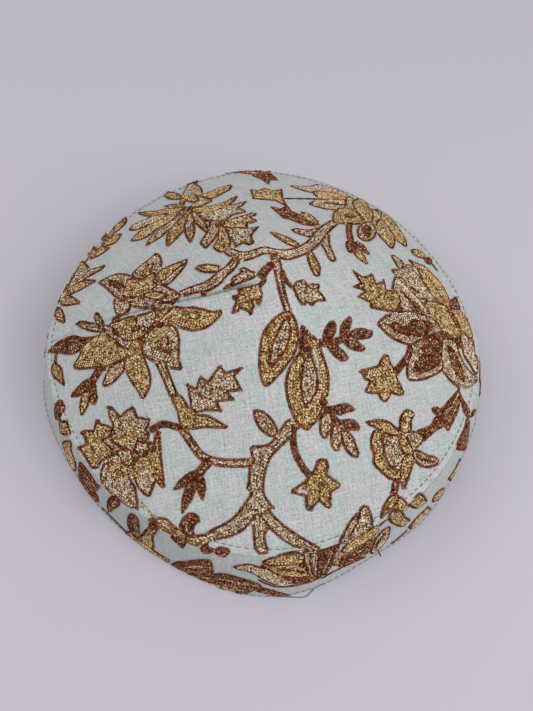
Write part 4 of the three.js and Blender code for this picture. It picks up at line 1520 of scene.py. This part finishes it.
brownFinish = {"metallic": 0.0, "roughness": 0.7, "specular": 0.06, "slot": "brown_thread"}
# In the outline, brown, gold and pale ramps the brightest stops are painted glints and the darkest painted
# shade between the links; the middle stops are the threads' own colour
threadLooks = {
    "outline": {
        "stops": ((0.08, (0.016, 0.002, 0.001)), (0.38, (0.08, 0.015, 0.003)), (0.62, (0.19, 0.047, 0.014)),
                  (0.87, (0.42, 0.16, 0.065))),
        "tintShare": 0.35, "tailShade": 0.4, **brownFinish,
    },
    "brown": {
        "stops": ((0.08, (0.02, 0.003, 0.001)), (0.4, (0.085, 0.017, 0.004)), (0.64, (0.2, 0.06, 0.02)),
                  (0.82, (0.45, 0.23, 0.13)), (0.95, (0.7, 0.5, 0.37))),
        "tintShare": 0.4, "tailShade": 0.5, **brownFinish,
    },
    "gold": {
        "stops": ((0.16, (0.085, 0.024, 0.002)), (0.4, (0.3, 0.145, 0.032)), (0.62, (0.68, 0.44, 0.165)),
                  (0.84, (1.0, 0.88, 0.58))),
        "tintShare": 0.35, "tailShade": 0.4,
        "metallic": 0.35, "roughness": 0.42, "specular": 0.05, "slot": "gold_thread",
    },
    "pale": {
        "stops": ((0.16, (0.09, 0.027, 0.005)), (0.4, (0.32, 0.18, 0.072)), (0.62, (0.71, 0.54, 0.34)),
                  (0.84, (1.0, 0.94, 0.8))),
        "tintShare": 0.35, "tailShade": 0.4,
        "metallic": 0.3, "roughness": 0.42, "specular": 0.05, "slot": "pale_thread",
    },
    "grey": {
        "stops": ((0.2, (0.16, 0.16, 0.17)), (0.8, (0.34, 0.34, 0.35))),
        "tintShare": 0.5, "tailShade": 0.0,
        "metallic": 0.0, "roughness": 0.7, "specular": 0.2, "slot": "grey_thread",
    },
}

# The cloth is painted dark brown under the stitches: partly the threads' colour where the cloth shows
# between them, partly painted shade under and beside the links
underStitchShade = {"inset": 0.4, "amount": 0.94, "reach": 1.3}


def stitchFinder(book):
    pages = [page for (thread, cloth), page in book.pages.items() if thread != "grey"]
    spots = [stitch[0] for page in pages for stitch in page]
    finder = kdtree.KDTree(len(spots))
    for k, spot in enumerate(spots):
        finder.insert(spot, k)
    finder.balance()
    return finder


def markUnderStitchShade(mesh, charts, finder):
    points = readValues(mesh.vertices, "co", 3) / mm
    normals = readValues(mesh.vertices, "normal", 3)
    amount = np.zeros(len(points))
    for chart in charts:
        spots = chart["spotOf"](points)
        seen = chart["seen"](points, normals)
        for motif in chart["flowers"].values():
            ring = motif["ring"]
            near = ((spots > ring.min(0)) & (spots < ring.max(0))).all(1) & seen
            if near.any():
                inset = underStitchShade["inset"] * chart["unit"] if motif["thread"] else 0
                under = insideRing(spots[near], ring) & (ringDistance(spots[near], ring) > inset)
                amount[np.flatnonzero(near)[under]] = underStitchShade["amount"] if motif["thread"] else 0
    # only where a stitch is close by
    for k in np.flatnonzero(amount):
        if finder.find(points[k])[2] > underStitchShade["reach"]:
            amount[k] = 0
    writeValues(mesh, "underStitchShade", amount)


finder = stitchFinder(book)
markUnderStitchShade(crownMesh, [photoChart], finder)
markUnderStitchShade(bandMesh, [photoChart, farChart], finder)

weaveGroup = makeWeaveGroup()
crownPiece = addPiece("crown_cloth", crownMesh, clothMaterial("crownCotton", weaveGroup, 1.0))
# the band's cloth is the crown's, painted 3% darker as painted shade on its upright wall
bandPiece = addPiece("band_cloth", bandMesh, clothMaterial("bandCottonShaded", weaveGroup, 0.97))
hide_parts("crown")
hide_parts("side_band")
print("cloth laid")

# Sizes of the links, for each thread
fillLink = {
    "Link Length": 1.5 * mm, "Link Width": 0.56 * mm, "Thread Radius": 0.19 * mm, "Round Steps": 6,
    "Thread Sides": 3, "Tilt": 0.25, "Wander": 0.3, "Size Spread": 0.14,
}
linkSizes = {
    "outline": {
        "Link Length": 1.9 * mm, "Link Width": 0.74 * mm, "Thread Radius": 0.21 * mm, "Round Steps": 7,
        "Thread Sides": 3, "Tilt": 0.2, "Wander": 0.14, "Size Spread": 0.1,
    },
    "brown": {
        "Link Length": 1.7 * mm, "Link Width": 0.62 * mm, "Thread Radius": 0.21 * mm, "Round Steps": 7,
        "Thread Sides": 3, "Tilt": 0.2, "Wander": 0.2, "Size Spread": 0.12,
    },
    "gold": fillLink,
    "pale": fillLink,
    "grey": {
        "Link Length": 1.6 * mm, "Link Width": 0.2 * mm, "Thread Radius": 0.13 * mm, "Round Steps": 6,
        "Thread Sides": 4, "Tilt": 0.0, "Wander": 0.08, "Size Spread": 0.1,
    },
}
twistGroup = makeTwistGroup()
threads = {name: threadMaterial(name + "Thread", twistGroup, look) for name, look in threadLooks.items()}
chainTree = makeChainTree()
for k, ((thread, cloth), page) in enumerate(sorted(book.pages.items())):
    sewPiece(f"{cloth}_{thread}_stitches", page, chainTree, threads[thread], threadLooks[thread]["slot"],
             Seed=stitching["seed"] + k, **linkSizes[thread])

# Loose ends of thread at the rim, charted in pixels: they lie on the band, or else on the floor
looseEnds = {
    "loose_grey_end": ("grey", [(267, 595), (282, 596.5), (298, 597.5), (306, 596.5), (311, 592), (315, 588),
                                (320, 584.5), (323, 583)]),
    "loose_brown_end": ("outline", [(377, 548), (379, 552), (381, 556.5)]),
}
looseThread = {"radius": 0.17, "sides": 5, "floorGap": 0.05, "lowest": 1.0}


def looseSpot(pixel):
    origin, ray = photoCamera["place"], pixelRay(pixel)
    place, face = surface.ray_cast(origin, ray)[:2]
    if place and place.z > looseThread["lowest"]:
        return place + face * looseThread["radius"]
    return origin + ray * ((looseThread["radius"] + looseThread["floorGap"] - origin.z) / ray.z)


def threadTube(name, path):
    along = np.gradient(path, axis=0)
    side = np.cross(along, (0, 0, 1))
    side = side / np.linalg.norm(side, axis=1)[:, None]
    above = np.cross(side, along)
    above = above / np.linalg.norm(above, axis=1)[:, None]
    sides = looseThread["sides"]
    turn = fullTurn * np.arange(sides) / sides
    about = np.cos(turn)[None, :, None] * side[:, None] + np.sin(turn)[None, :, None] * above[:, None]
    points = (path[:, None] + looseThread["radius"] * about).reshape(-1, 3)
    last = (len(path) - 1) * sides
    faces = gridFaces(len(path), sides).tolist() + [list(range(sides)), [last + k for k in range(sides)]]
    mesh = plainMesh(name, points, faces)
    shell = bmesh.new()
    shell.from_mesh(mesh)
    bmesh.ops.recalc_face_normals(shell, faces=shell.faces)
    shell.to_mesh(mesh)
    shell.free()
    return mesh


for name, (thread, pixels) in looseEnds.items():
    path = np.array([looseSpot(p) for p in drawCurve(pixels, closed=False)])
    addPiece(name, threadTube(name, path), threads[thread])
print("loose ends laid")

# Floor and light, in metres: a plain pale sheet under soft studio panels, a little brighter from the right
studio = {
    "floorSize": 6.0,
    "floorColour": (0.5, 0.48, 0.525, 1),
    "worldColour": (0.86, 0.86, 0.92, 1),
    "worldStrength": 0.56,
    "panels": {
        "softRight": {"place": (0.75, -0.4, 0.9), "size": 1.0, "power": 8.8, "colour": (1.0, 0.99, 1.0)},
        "softLeft": {"place": (-0.6, 0.0, 1.0), "size": 1.0, "power": 4.8, "colour": (1.0, 0.98, 0.96)},
    },
}


def makeFloor():
    half = studio["floorSize"] / 2
    mesh = bpy.data.meshes.new("floor")
    corners = [(-half, -half, 0), (half, -half, 0), (half, half, 0), (-half, half, 0)]
    mesh.from_pydata(corners, [], [(0, 1, 2, 3)])
    floor = bpy.data.objects.new("floor", mesh)
    bpy.context.scene.collection.objects.link(floor)
    paper = newMaterial("floorPaper", Base_Color=studio["floorColour"], Roughness=0.9,
                        Specular_IOR_Level=0.1)[0]
    mesh.materials.append(paper)


def makePanel(name, panel):
    data = bpy.data.lights.new(name, "AREA")
    data.shape = "DISK"
    data.size = panel["size"]
    data.energy = panel["power"]
    data.color = panel["colour"]
    light = bpy.data.objects.new(name, data)
    light.location = panel["place"]
    light.rotation_euler = (-Vector(panel["place"])).to_track_quat("-Z", "Y").to_euler()
    bpy.context.scene.collection.objects.link(light)


def makeStudio():
    makeFloor()
    for name, panel in studio["panels"].items():
        makePanel(name, panel)
    scene = bpy.context.scene
    scene.world = bpy.data.worlds.new("studioWorld")
    scene.world.use_nodes = True
    back = scene.world.node_tree.nodes["Background"]
    back.inputs["Color"].default_value = studio["worldColour"]
    back.inputs["Strength"].default_value = studio["worldStrength"]
    scene.view_settings.view_transform = "Standard"


makeStudio()
print("floor and lights placed")
